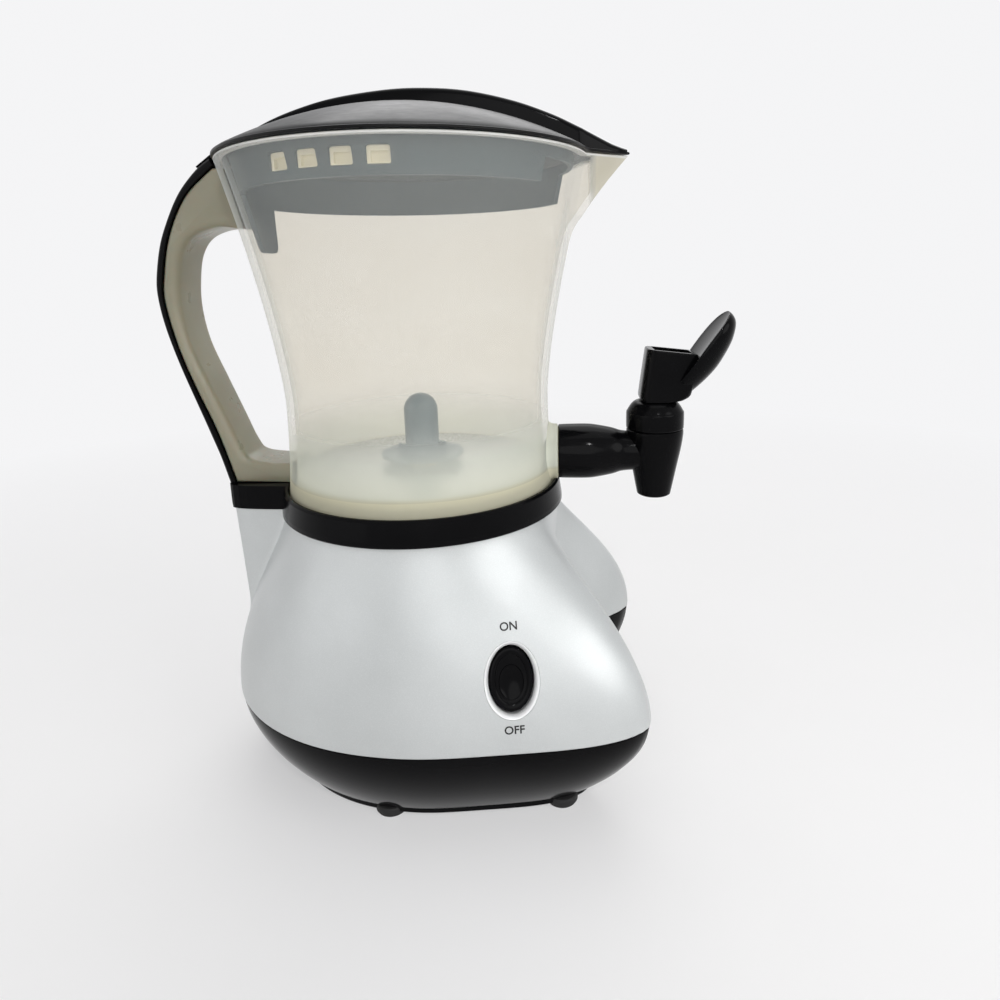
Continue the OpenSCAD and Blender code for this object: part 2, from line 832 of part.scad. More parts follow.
// Motor shaft with its wound core
module motor_rotor() {
    color([0.55, 0.3, 0.2]) {
        translate([0, 0, motor_z + 1.8])
            cylinder(h = couple_z + 8.6 - motor_z - 1.8, r = motor_shaft_r);
        translate([0, 0, motor_z + 10])
            difference() {
                cylinder(h = 24, r = motor_r - 8);
                translate([0, 0, -1])
                    cylinder(h = 26, r = motor_shaft_r);
                for (i = [0 : 4])
                    rotate([0, 0, 72 * i])
                        translate([motor_r - 10, -1.2, -1])
                            cube([6, 2.4, 26]);
            }
    }
}

// Steel can of the motor, with its two bearings
module motor_can() {
    wall = 1.5;
    color([0.62, 0.62, 0.64])
        translate([0, 0, motor_z])
            difference() {
                union() {
                    cylinder(h = motor_h, r = motor_r);
                    translate([0, 0, motor_h])
                        cylinder(h = 3, r = 6);
                }
                difference() {
                    translate([0, 0, wall])
                        cylinder(h = motor_h - 2 * wall, r = motor_r - wall);
                    cylinder(h = 6, r = 5);
                }
                translate([0, 0, wall])
                    cylinder(h = motor_h + 4, r = motor_shaft_r + run_gap);
                four(motor_r - 6, 0)
                    translate([0, 0, motor_h - 3])
                        cylinder(h = 4, d = 3);
            }
}

// Magnets in the can
module motor_magnets() {
    color([0.25, 0.25, 0.27])
        for (s = [0, 180])
            rotate([0, 0, s - 65])
                translate([0, 0, motor_z + 8])
                    rotate_extrude(angle = 130)
                        translate([motor_r - 7, 0])
                            square([5.3, 28]);
}

// Stand that carries the motor on the pan, with a sleeve, a ledge and four screw posts
module motor_stand() {
    ledge = motor_z - pan_top - seat_gap - 0.1;
    color([0.35, 0.35, 0.36])
        difference() {
            union() {
                translate([0, 0, pan_top + 0.1])
                    rotate_extrude()
                        polygon([
                            [stand_r - 6, 0], [stand_flange, 0], [stand_flange, 3], [stand_r + stand_t, 3],
                            [stand_r + stand_t, ledge + 22], [stand_r - 0.8, ledge + 22],
                            [stand_r - 0.8, ledge], [stand_r - 6, ledge]
                        ]);
                four(screw_r)
                    translate([0, 0, pan_top + 2])
                        cylinder(h = 8, d = 8);
            }
            four(screw_r)
                translate([0, 0, pan_top - 1])
                    cylinder(h = 9.6, d = 3.1);
            for (i = [0 : 5])
                rotate([0, 0, 60 * i])
                    translate([stand_r - 10, -4, pan_top + 14])
                        cube([20, 8, motor_z - pan_top - 22]);
        }
}

// Control board on the pan's posts, with a relay, a capacitor and a plug
module control_board() {
    color([0.15, 0.4, 0.22])
        translate([27, board_y, board_z]) {
            cube([31, 24, 1.6]);
            translate([3, 9, 1.6])
                cube([15, 11, 12]);
            translate([24, 15, 1.6])
                cylinder(h = 11, d = 8);
            translate([20, 2, 1.6])
                cube([9, 6, 7]);
        }
}

// Tap: a swelling shank, a tapered barrel with a valve seat, and a spigot in the jug's boss
module tap_body() {
    r = barrel_d / 2;
    color([0.03, 0.03, 0.03])
        difference() {
            union() {
                translate([tap_reach, 0, barrel_z])
                    rotate_extrude()
                        polygon([
                            [0, 0], [r - 6.2, 0], [r - 5.4, 0.6], [r - 5, 1.8], [r - 2.85, 12.7],
                            [r - 0.9, 22.5], [r - 0.1, 28.4], [r - 0.2, 30.6], [r - 2.2, 30.6],
                            [r - 2.2, 35.2], [0, 35.2]
                        ]);
                translate([shank_x, 0, tap_z])
                    rotate([0, 90, 0])
                        rotate_extrude()
                            polygon([
                                [0, 0], [r - 0.6, 0], [r - 0.4, 5], [r - 0.4, 13], [r - 1, 18], [r - 2.2, 24],
                                [r - 3.6, 29], [r - 4, tap_reach - shank_x - 2], [0, tap_reach - shank_x - 2]
                            ]);
                translate([shank_x - spigot_l - washer_t, 0, tap_z])
                    rotate([0, 90, 0])
                        cylinder(h = spigot_l + washer_t + 1, d = spigot_d);
            }
            translate([tap_reach, 0, barrel_z])
                rotate_extrude()
                    polygon([
                        [0, -1], [5, -1], [5, 4.5], [7.6, 7.5], [8.4, 8.5], [8.4, 36], [0, 36]
                    ]);
            translate([shank_x - spigot_l - washer_t - 1, 0, tap_z])
                rotate([0, 90, 0])
                    cylinder(h = tap_reach - shank_x + spigot_l, d = inlet_d - 0.5);
        }
}

// Washer between the shank and the boss
module tap_washer() {
    color([0.75, 0.72, 0.66])
        translate([boss_x + 0.1, 0, tap_z])
            rotate([0, 90, 0])
                difference() {
                    cylinder(h = washer_t, d = boss_d - 2);
                    translate([0, 0, -1])
                        cylinder(h = washer_t + 2, d = spigot_d + 0.3);
                }
}

// Screwed bonnet with a shoulder and a flat top, which guides the stem
module tap_bonnet() {
    r = barrel_d / 2;
    color([0.03, 0.03, 0.03])
        translate([tap_reach, 0, bonnet_z])
            difference() {
                rotate_extrude()
                    polygon([
                        [0, 0], [r - 0.15, 0], [r, 0.5], [r - 0.1, bonnet_h - 5], [r - 0.7, bonnet_h - 4.4],
                        [r - 1.2, bonnet_h - 3.8], [r - 2.6, bonnet_h - 1.8], [r - 3.6, bonnet_h],
                        [0, bonnet_h]
                    ]);
                translate([0, 0, -1])
                    cylinder(h = 5.9, r = r - 2.1);
                translate([0, 0, -1])
                    cylinder(h = 8.2, r = 8.4);
                translate([0, 0, -1])
                    cylinder(h = bonnet_h + 2, d = stem_d + 2 * run_gap);
            }
}

// Stem with a hole for the lever's pin
module tap_stem() {
    low = barrel_z + 7;
    color([0.8, 0.8, 0.82])
        difference() {
            translate([tap_reach, 0, low])
                cylinder(h = pivot_z + stem_over - low, d = stem_d);
            translate([tap_reach, 0, pivot_z])
                rotate([90, 0, 0])
                    cylinder(h = 10, d = pin_d + 2 * run_gap, center = true);
        }
}

// Silicone cup that closes the outlet
module tap_seat_cup() {
    color([0.85, 0.85, 0.8])
        translate([tap_reach, 0, barrel_z])
            difference() {
                rotate_extrude()
                    polygon([
                        [0, 5.2], [4.6, 5.2], [7.2, 8.1], [7.6, 9], [7.6, 11], [6.4, 12.4], [4.6, 14], [0, 14]
                    ]);
                translate([0, 0, 6.8])
                    cylinder(h = 10, d = stem_d + 2 * press_gap);
            }
}

// Lever: a yoke whose heel is a spiral cam, and a spoon with a flat face
function cam_point(f) =
    let (h = cam_h + cam_lift * f * PI / 180)
        [h * sin(f) + cam_lift * cos(f), -h * cos(f) + cam_lift * sin(f)];
module tap_lever() {
    cam = [for (i = [0 : 8]) cam_point(lever_turn * i / 8)];
    heel = cam[8];
    tilt = 55.7;
    length = 21;
    middle = [17.8, 15];
    deep = 11.1;
    round_r = (pow(spoon_w / 2, 2) + deep * deep) / (2 * deep);
    sunk = deep - round_r;
    back = curve([
        heel, [19, -0.9], [23.1, 3.4], [26.7, 8.3], [29.6, 13.1], [31.3, 17.5], [32.5, 22.2], [32.5, 26.5],
        [31.7, 30.2], [30.5, 31.3], [28.8, 31.2]
    ], 4);
    color([0.03, 0.03, 0.03])
        translate([tap_reach, 0, pivot_z])
            difference() {
                union() {
                    upright(yoke_w)
                        polygon(concat(
                            [[-4.8, 16.2], [-6.8, -5.6], [-6.4, -cam_h]],
                            cam,
                            [[15.9, 4], [16.6, 13.6], [-3.4, 16.6]]
                        ));
                    intersection() {
                        upright(spoon_w + 2)
                            polygon(concat([[7, -1], [6.4, -2]], cam, back));
                        translate([middle[0], 0, middle[1]])
                            rotate([0, 90 - tilt, 0])
                                rotate([0, 90, 0])
                                    linear_extrude(60, center = true)
                                        polygon(oval(length, spoon_w / 2));
                        translate([middle[0] + sunk * sin(tilt), 0, middle[1] - sunk * cos(tilt)])
                            rotate([0, 90 - tilt, 0])
                                cylinder(h = 80, r = round_r, center = true);
                    }
                }
                upright(stem_d + 2 * move_gap)
                    for (f = [0 : lever_turn / 5 : lever_turn])
                        rotate(f)
                            translate([-stem_d / 2 - 0.5, -16])
                                square([stem_d + 1, 16.5 + stem_over]);
                rotate([90, 0, 0])
                    cylinder(h = 40, d = pin_d + 2 * press_gap, center = true);
            }
}

// Pin through the yoke and the stem
module lever_pin() {
    color([0.7, 0.7, 0.72])
        translate([tap_reach, 0, pivot_z])
            rotate([90, 0, 0])
                cylinder(h = yoke_w - 1, d = pin_d, center = true);
}

// Black lid: a shallow dome with a rim band and a flat nose over the beak
module lid_cover() {
    rows = 14;
    color([0.05, 0.05, 0.05])
        union() {
            rotate_extrude($fn = 120)
                polygon(concat(
                    [for (i = [0 : rows]) let (r = (lid_r - 1.4) * i / rows) [r, dome_z(r)]],
                    [[lid_r - 1.3, lid_z + edge_h + 0.2], [lid_r, lid_z + edge_h - 0.3], [lid_r, lid_z]],
                    [[lid_r - 4, lid_z]],
                    [for (i = [rows : -1 : 0]) let (r = (lid_r - 5) * i / rows) [r, dome_z(r) - lid_t]]
                ));
            translate([0, 0, lid_z])
                linear_extrude(edge_h)
                    polygon([
                        [lid_r - 5, -beak_w / 2 - 1], [beak_x - 1.4, -1.3], [beak_x + 0.4, 0],
                        [beak_x - 1.4, 1.3], [lid_r - 5, beak_w / 2 + 1]
                    ]);
        }
}

// Raised strip along the lid, from the handle to the tip of the nose
function spine_low(x) = max(lid_z + edge_h, dome_z(x));
function spine_at(u, k) = [u * lid_r, spine_low(u * lid_r) + k * spine_h];
module lid_spine() {
    nose = (beak_x - 0.6) / lid_r;
    top = curve([
        spine_at(-0.96, 0.08), spine_at(-0.84, 0.32), spine_at(-0.56, 0.66), spine_at(-0.34, 0.86),
        spine_at(-0.06, 0.94), spine_at(0.16, 1.04), spine_at(0.37, 1.04), spine_at(0.63, 1.12),
        spine_at(0.805, 1.2), spine_at(0.975, 1.35), spine_at(nose / 2 + 0.5, 0.68), spine_at(nose, 0.1)
    ], 5);
    low = [
        for (i = [0 : 24])
            let (x = lid_r * (nose - (nose + 0.96) * i / 24)) [x, spine_low(x) + 0.05]
    ];
    color([0.03, 0.03, 0.03])
        intersection() {
            upright(spine_w)
                polygon(concat(top, low));
            translate([0, 0, rim_z])
                linear_extrude(3 * dome_h)
                    polygon([
                        [-lid_r, -spine_w / 2], [lid_r - 12, -spine_w / 2], [lid_r - 4, -spine_w / 2 + 1],
                        [beak_x - 1.6, -1.2], [beak_x, 0], [beak_x - 1.6, 1.2], [lid_r - 4, spine_w / 2 - 1],
                        [lid_r - 12, spine_w / 2], [-lid_r, spine_w / 2]
                    ]);
        }
}

// Place of one window in the near side of the skirt
module at_window(i) {
    rotate([0, 0, -window_a - window_step * i])
        children();
}

// Skirt that hangs in the jug: shorter on the near side, where its windows are, with a mouth at the beak and
// a tongue at the handle
module skirt_band(low, high) {
    polygon([
        [skirt_at(low) - skirt_t, low], [skirt_at(low), low],
        [skirt_at(high), high], [skirt_at(high) - skirt_t, high]
    ]);
}
module lid_skirt() {
    drop = 16;
    color([0.06, 0.06, 0.06])
        difference() {
            rotate_extrude($fn = 120)
                skirt_band(skirt_z - drop, skirt_top);
            translate([0, 0, skirt_z - drop - 1])
                rotate_extrude(angle = 324, start = 198)
                    translate([skirt_r - 20, 0])
                        square([30, drop + 1]);
            translate([0, 0, skirt_z - 1])
                rotate_extrude(angle = 136, start = 198)
                    translate([skirt_r - 20, 0])
                        square([30, skirt_h - near_h + 1]);
            for (i = [0 : slot_count - 1])
                at_window(i)
                    translate([skirt_r - 10, -window_w / 2, window_z])
                        cube([20, window_w, window_h]);
            rotate([0, 0, -30])
                translate([0, 0, skirt_z - 1])
                    rotate_extrude(angle = 60)
                        translate([skirt_r - 12, 0])
                            square([20, skirt_h - 3]);
        }
}

// Cream baffle behind the windows: a curved strip with a pad in each window, and a shallow pocket in each pad
module lid_baffle() {
    thick = 2;
    out = skirt_t + seat_gap;
    low = window_z - 1.2;
    high = window_z + window_h + 1.2;
    span = window_step * (slot_count - 1);
    pad_r = skirt_at(window_z) - 0.1;
    color([0.86, 0.83, 0.72])
        difference() {
            union() {
                rotate_extrude(angle = span + 12.4, start = -window_a - span - 6.2)
                    polygon([
                        [skirt_at(low) - out - thick, low], [skirt_at(low) - out, low],
                        [skirt_at(high) - out, high], [skirt_at(high) - out - thick, high]
                    ]);
                for (i = [0 : slot_count - 1])
                    at_window(i)
                        translate([pad_r - 2.7, seat_gap - window_w / 2, window_z + seat_gap])
                            cube([2.7, window_w - 2 * seat_gap, window_h - 2 * seat_gap]);
            }
            for (i = [0 : slot_count - 1])
                at_window(i)
                    translate([pad_r - 1.5, 1.4 - window_w / 2, window_z + 0.6])
                        cube([5, window_w - 2.4, window_h - 2.6]);
        }
}

placed() rubber_feet();
placed() base_tray();
placed() bottom_pan();
placed() base_screws();
placed() cord_gland();
placed() base_housing();
placed() switch_frame();
placed() switch_rocker();
placed() switch_block();
placed() neck_collar();
placed() jug_body();
placed() jug_handle();
placed() handle_cover();
placed() heater_plate();
placed() plate_seal();
placed() plate_clamp();
placed() clamp_screws();
placed() heating_element();
placed() thermostat();
placed() thermal_fuse();
placed() shaft_bush();
placed() bush_nut();
placed() shaft_seal();
placed() drive_shaft();
placed() froth_whisk();
placed() shaft_coupling();
placed() motor_rotor();
placed() motor_can();
placed() motor_magnets();
placed() motor_stand();
placed() control_board();
placed() tap_body();
placed() tap_washer();
placed() tap_bonnet();
placed() tap_stem();
placed() tap_seat_cup();
placed() tap_lever();
placed() lever_pin();
placed() lid_cover();
placed() lid_spine();
placed() lid_skirt();
placed() lid_baffle();
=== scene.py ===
"""Looks of the countertop hot chocolate maker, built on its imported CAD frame.

The CAD nodes keep their places. The curved shells are made again here as fine meshes, from the same
formulas and sizes as the solids, and every piece gets a procedural material.
"""

import json
import math

import bmesh
import bpy
from mathutils import Matrix, Vector


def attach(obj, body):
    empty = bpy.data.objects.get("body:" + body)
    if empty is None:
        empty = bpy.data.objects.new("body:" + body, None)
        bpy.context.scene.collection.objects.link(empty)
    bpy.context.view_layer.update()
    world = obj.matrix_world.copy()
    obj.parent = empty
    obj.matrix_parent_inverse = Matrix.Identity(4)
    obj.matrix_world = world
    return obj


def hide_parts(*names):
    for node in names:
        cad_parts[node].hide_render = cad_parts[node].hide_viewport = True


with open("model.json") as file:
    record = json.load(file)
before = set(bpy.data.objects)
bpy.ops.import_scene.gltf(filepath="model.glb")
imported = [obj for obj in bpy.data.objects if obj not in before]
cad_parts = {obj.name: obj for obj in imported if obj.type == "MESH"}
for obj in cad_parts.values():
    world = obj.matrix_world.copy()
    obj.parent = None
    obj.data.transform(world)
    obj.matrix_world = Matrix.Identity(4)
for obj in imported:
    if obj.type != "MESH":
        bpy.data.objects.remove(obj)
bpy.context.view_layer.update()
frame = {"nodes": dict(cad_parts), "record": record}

# Driving sizes in millimetres, from the jug's axis and the table up. They are those of the part's source,
# apart from the lid's thinner edge (EDGE_H), which DOME_H makes up for
MM = 0.001
AXIS_X = -13.9
FOOT_H = 4.5
FOOT_ANGLES = (35.7, -35.7, 101.5, -101.5, 180)
TRAY_H = 38.8
TRAY_DRAW = 0.245
TRAY_T = 3.0
HOUSE_H = 79.0
SIDE_R = 77.8
REAR_R = 90.0
LOBE_OUT = 35.3
LOBE_A = 29.8
LOBE_W = 23.6
LOBE_E = 1.54
NOTCH_R = 57.0
NOTCH_K = 55.6
NOTCH_Q = 3.18
BELL_E = 1.25
SHELL_T = 3.2
JUG_H = 144.6
WAIST_R = 57.6
RIM_R = 76.1
WALL_T = 3.0
FOOT_FLARE = 2.6
BEAK_OUT = 16.4
BEAK_W = 27.0
BEAK_DOWN = 35.0
COLLAR_H = 10.8
HANDLE_REACH = 45.85
HANDLE_W = 23.0
DOME_H = 19.9
EDGE_H = 1.1
LID_T = 2.2
SKIRT_H = 16.4
WINDOWS = 4
WINDOW_A = 86.0
WINDOW_STEP = 10.7
WINDOW_W = 8.2
WINDOW_H = 6.2
SPINE_W = 26.0
SPINE_H = 5.0
TAP_REACH = 105.2
BARREL_D = 25.4
SWITCH_A = -57.7
SWITCH_UP = 28.6
ROCKER_W = 17.2
ROCKER_H = 24.4
SEAT_GAP = 0.2
MOVE_GAP = 0.3

# Heights and radii that follow from them
SEAM_Z = FOOT_H + TRAY_H
HOUSE_Z = SEAM_Z + MOVE_GAP
NECK_Z = HOUSE_Z + HOUSE_H
NECK_R = WAIST_R + FOOT_FLARE + 1.3
COLLAR_TOP = NECK_Z + SEAT_GAP + COLLAR_H
JUG_Z = NECK_Z + 2 * SEAT_GAP + 2.6
RIM_Z = JUG_Z + JUG_H
WAIST_Z = JUG_Z + 0.32 * JUG_H
FLANGE_Z = JUG_Z + 7.4
FLOOR_Z = FLANGE_Z + 3
FLANGE_IN = WAIST_R - WALL_T - 9
TAP_Z = FLOOR_Z + 8.5
LID_Z = RIM_Z + MOVE_GAP
WINDOW_Z = RIM_Z - 9.6
LID_R = RIM_R + 0.6
BEAK_X = RIM_R + BEAK_OUT
GRIP_Z = COLLAR_TOP + SEAT_GAP
RISER_BACK = NECK_R + 24.5
RISER_HW = HANDLE_W / 2 + 5.5
RISER_LEAN = 0.045
SWITCH_Z = HOUSE_Z + SWITCH_UP
BOSS_R = BARREL_D / 2 - 0.3
BARREL_R = BARREL_D / 2
BARREL_Z = TAP_Z - 20.4
TAP_BORE_R = 8.4
TAP_INLET_R = 3.3
JUG_INLET_R = 3.5
SPIGOT_R = 5.0
BONNET_Z = TAP_Z + 10.5
BONNET_H = 12.4
CAM_H = 6.8
LEVER_TURN = 35
YOKE_W = 17.0
STEM_D = 5.6
STEM_OVER = 3.2
SPOON_W = 26.0
PIVOT_Z = BONNET_Z + BONNET_H + MOVE_GAP + CAM_H

# Skirt of the lid: how far its parts hang down, and where its mouth and tongue lie, in degrees
MOUTH_H = 4.0
MOUTH_START = 328
MOUTH_END = 20
FRONT_H = 12.9
TONGUE_H = 35.5
TONGUE_ROUND = 3.5
TONGUE_A = 184
TONGUE_HALF = 9.5
TONGUE_SLANT = 4.5

# Edges that turn by more than this many degrees are shown sharp
SHARP = 32


def cosd(a):
    return math.cos(math.radians(a))


def sind(a):
    return math.sin(math.radians(a))


# Shape formulas, shared with the solids
def soft_min(a, b, p):
    return (a ** -p + b ** -p) ** (-1 / p)


def soft_max(a, b, p):
    return (a ** p + b ** p) ** (1 / p)


def fold(a):
    a = a % 360
    return 360 - a if a > 180 else a


def seam_r(a):
    """Plan of the base at the seam: a rounded body, two lobes and the hollow between them."""
    q = fold(a)
    body = SIDE_R + ((REAR_R - SIDE_R) * cosd(q) ** 2 if q > 90 else 0)
    lobe = LOBE_OUT * math.exp(-((abs(q - LOBE_A) / LOBE_W) ** LOBE_E))
    notch = NOTCH_R + NOTCH_K * (q / 25) ** NOTCH_Q
    return soft_min(body + lobe, notch, 16)


def riser_r(b):
    if b > 60:
        return 1
    return soft_min(RISER_BACK / cosd(b), RISER_HW / max(sind(b), 0.001), 9)


def house_r(a, z):
    """Housing: a bell from the neck to the seam, with the riser for the handle at its back."""
    share = min(max((NECK_Z - z) / HOUSE_H, 0), 1)
    bell = NECK_R + (seam_r(a) - NECK_R) * sind(90 * share) ** BELL_E
    riser = max(riser_r(180 - fold(a)) - RISER_LEAN * (NECK_Z - z), 1)
    return soft_max(bell, riser, 80)


def tray_r(a, z):
    share = max(0, 1 - (z - FOOT_H) / TRAY_H)
    return (seam_r(a) - 0.4) * (1 - TRAY_DRAW * share ** 1.7)


def jug_r(z):
    if z > WAIST_Z:
        return WAIST_R + (RIM_R - WAIST_R) * ((z - WAIST_Z) / (RIM_Z - WAIST_Z)) ** 1.42
    return WAIST_R + FOOT_FLARE * ((WAIST_Z - z) / (WAIST_Z - JUG_Z)) ** 2


def dome_z(r):
    return LID_Z + EDGE_H + DOME_H * (1 - (r / LID_R) ** 2)


def grip(u, v):
    """Point of the handle's outline: u is a share of its reach, v of its height."""
    return (-(WAIST_R + (RIM_R - WAIST_R) * v * v + u * HANDLE_REACH), GRIP_Z + v * (RIM_Z - GRIP_Z))


def curve(points, n):
    """Smooth line through a few points."""
    out = []
    last = len(points) - 1
    for i in range(last):
        p, q, r, s = (Vector(points[j]) for j in (max(i - 1, 0), i, i + 1, min(i + 2, last)))
        for k in range(n):
            t = k / n
            out.append(0.5 * (2 * q + (r - p) * t + (2 * p - 5 * q + 4 * r - s) * t ** 2
                              + (3 * q - p - 3 * r + s) * t ** 3))
    return out + [Vector(points[last])]


def vee(a, tip, half, wall):
    """Radius at angle a of a V with its tip on the X axis, whose sides meet the round wall."""
    q = fold(a)
    foot = math.sqrt(wall * wall - half * half)
    if q > 25 or tip <= foot:
        return 1
    return tip * half / (half * cosd(q) + (tip - foot) * sind(q))


def beak_r(a, z, inset):
    """Jug wall with its pouring beak, which narrows down the wall to nothing."""
    wall = jug_r(z)
    base = wall - (WALL_T if inset else 0)
    down = (RIM_Z - z) / BEAK_DOWN
    if down >= 1:
        return base
    half = BEAK_W / 2 * (1 - down) + 4.5 * down + 3 * down * (1 - down)
    out = BEAK_OUT * (1 - down) ** 1.45
    half = max(half - inset, 0.6)
    reach = vee(a, wall + out - 1.6 * inset, half, base)
    rise = soft_max(base, reach, 140) - base
    return base + rise * min(1, 3 * (1 - down))


# Mesh helpers
def place(x, y, z):
    """Millimetres from the jug's axis to metres in the frame."""
    return ((x + AXIS_X) * MM, y * MM, z * MM)


def ring(angles, z, radius):
    return [(radius(a) * cosd(a), radius(a) * sind(a), z) for a in angles]


def skin(rows, looped=False, capped=False):
    """Points and faces of a surface over rows of points, each row a closed loop."""
    n = len(rows[0])
    points = [p for row in rows for p in row]
    faces = []
    for i in range(len(rows) if looped else len(rows) - 1):
        here = i * n
        after = (i + 1) % len(rows) * n
        for j in range(n):
            k = (j + 1) % n
            faces.append((here + j, here + k, after + k, after + j))
    if capped:
        faces.append(tuple(range(n - 1, -1, -1)))
        faces.append(tuple(range((len(rows) - 1) * n, len(rows) * n)))
    return points, faces


def add_mesh(name, shape):
    """A mesh with its faces turned outwards."""
    points, faces = shape
    mesh = bpy.data.meshes.new(name)
    mesh.from_pydata([place(*p) for p in points], [], faces)
    made = bmesh.new()
    made.from_mesh(mesh)
    bmesh.ops.remove_doubles(made, verts=made.verts, dist=1e-6)
    bmesh.ops.recalc_face_normals(made, faces=made.faces)
    made.to_mesh(mesh)
    made.free()
    obj = bpy.data.objects.new(name, mesh)
    bpy.context.scene.collection.objects.link(obj)
    return obj


def add_piece(name, shape, body, slot, nodes=(), sharp=SHARP, finish=None):
    """A mesh piece in the frame, riding on a body and standing for the nodes it replaces."""
    obj = add_mesh(name, shape)
    mesh = obj.data
    finish_shading(mesh, sharp)
    mesh.materials.append(MATERIALS[finish or slot])
    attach(obj, body)
    if nodes:
        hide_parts(*nodes)
    return obj


def finish_shading(mesh, sharp):
    mesh.polygons.foreach_set("use_smooth", [True] * len(mesh.polygons))
    mesh.set_sharp_from_angle(angle=math.radians(sharp))


def cut(obj, shape):
    """Takes a closed shape out of a piece."""
    cutter = add_mesh("cutter", shape)
    mesh = cutter.data
    step = obj.modifiers.new("cut", "BOOLEAN")
    step.operation = "DIFFERENCE"
    step.solver = "EXACT"
    step.object = cutter
    bpy.context.view_layer.update()
    seen = obj.evaluated_get(bpy.context.evaluated_depsgraph_get())
    result = bpy.data.meshes.new_from_object(seen)
    obj.modifiers.remove(step)
    old = obj.data
    name = old.name
    obj.data = result
    bpy.data.meshes.remove(old)
    result.name = name
    bpy.data.objects.remove(cutter)
    bpy.data.meshes.remove(mesh)
    finish_shading(result, SHARP)


def outline_normals(line):
    """Inward mitred normals of a closed outline that runs against the clock."""
    n = len(line)
    out = []
    for i in range(n):
        before = (line[i] - line[i - 1]).normalized()
        after = (line[(i + 1) % n] - line[i]).normalized()
        left = Vector((-before.y, before.x))
        right = Vector((-after.y, after.x))
        out.append((left + right) / max(1 + left.dot(right), 0.35))
    return out


def against_clock(line):
    area = sum(p.x * q.y - q.x * p.y for p, q in zip(line, line[1:] + line[:1]))
    return line if area > 0 else line[::-1]


def slab(line, half, radii, steps=5):
    """Rows of an upright slab over an outline in X and Z that runs against the clock, with rounded edges."""
    normals = outline_normals(line)
    rows = []
    for side in (-1, 1):
        turns = range(steps, -1, -1) if side < 0 else range(steps + 1)
        for k in turns:
            inset = 1 - cosd(90 * k / steps)
            drop = 1 - sind(90 * k / steps)
            rows.append([
                (p.x + r * inset * m.x, side * (half - r * drop), p.y + r * inset * m.y)
                for p, m, r in zip(line, normals, radii)
            ])
    return rows


def oval(a, b, n=72):
    return [(a * cosd(360 * i / n), b * sind(360 * i / n)) for i in range(n)]


def turned_rows(profile, n=72):
    """Rows of a body turned about the Z axis, from pairs of radius and height."""
    return [[(x, y, z) for x, y in oval(r, r, n)] for r, z in profile]


def moved(rows, x, z):
    return [[(p[0] + x, p[1], p[2] + z) for p in row] for row in rows]


def round_corner(half, top, soft):
    """Points of a rounded corner, from the side at half a width up to the top."""
    return [(half - soft * (1 - cosd(t)), top - soft + soft * sind(t)) for t in range(0, 91, 15)]


def steps(start, end, step):
    return [start + step * i for i in range(round((end - start) / step))]


# Switch place on the housing
def skin_point(a, z):
    r = house_r(a, z)
    return Vector((r * cosd(a), r * sind(a), z))


SWITCH_P = skin_point(SWITCH_A, SWITCH_Z)
SWITCH_N = (skin_point(SWITCH_A + 1, SWITCH_Z) - skin_point(SWITCH_A - 1, SWITCH_Z)).cross(
    skin_point(SWITCH_A, SWITCH_Z + 1) - skin_point(SWITCH_A, SWITCH_Z - 1)).normalized()
SWITCH_U = Vector((-SWITCH_N.y, SWITCH_N.x, 0)).normalized()
SWITCH_V = SWITCH_N.cross(SWITCH_U)


def on_switch(u, v, w):
    return SWITCH_P + u * SWITCH_U + v * SWITCH_V + w * SWITCH_N


def on_skin(u, v, lift):
    """Point over the housing's skin, straight in front of a place on the switch's plane."""
    low = -12.0
    high = 12.0
    for _ in range(30):
        w = (low + high) / 2
        p = on_switch(u, v, w)
        if math.hypot(p.x, p.y) < house_r(math.degrees(math.atan2(p.y, p.x)), p.z):
            low = w
        else:
            high = w
    return on_switch(u, v, low + lift)


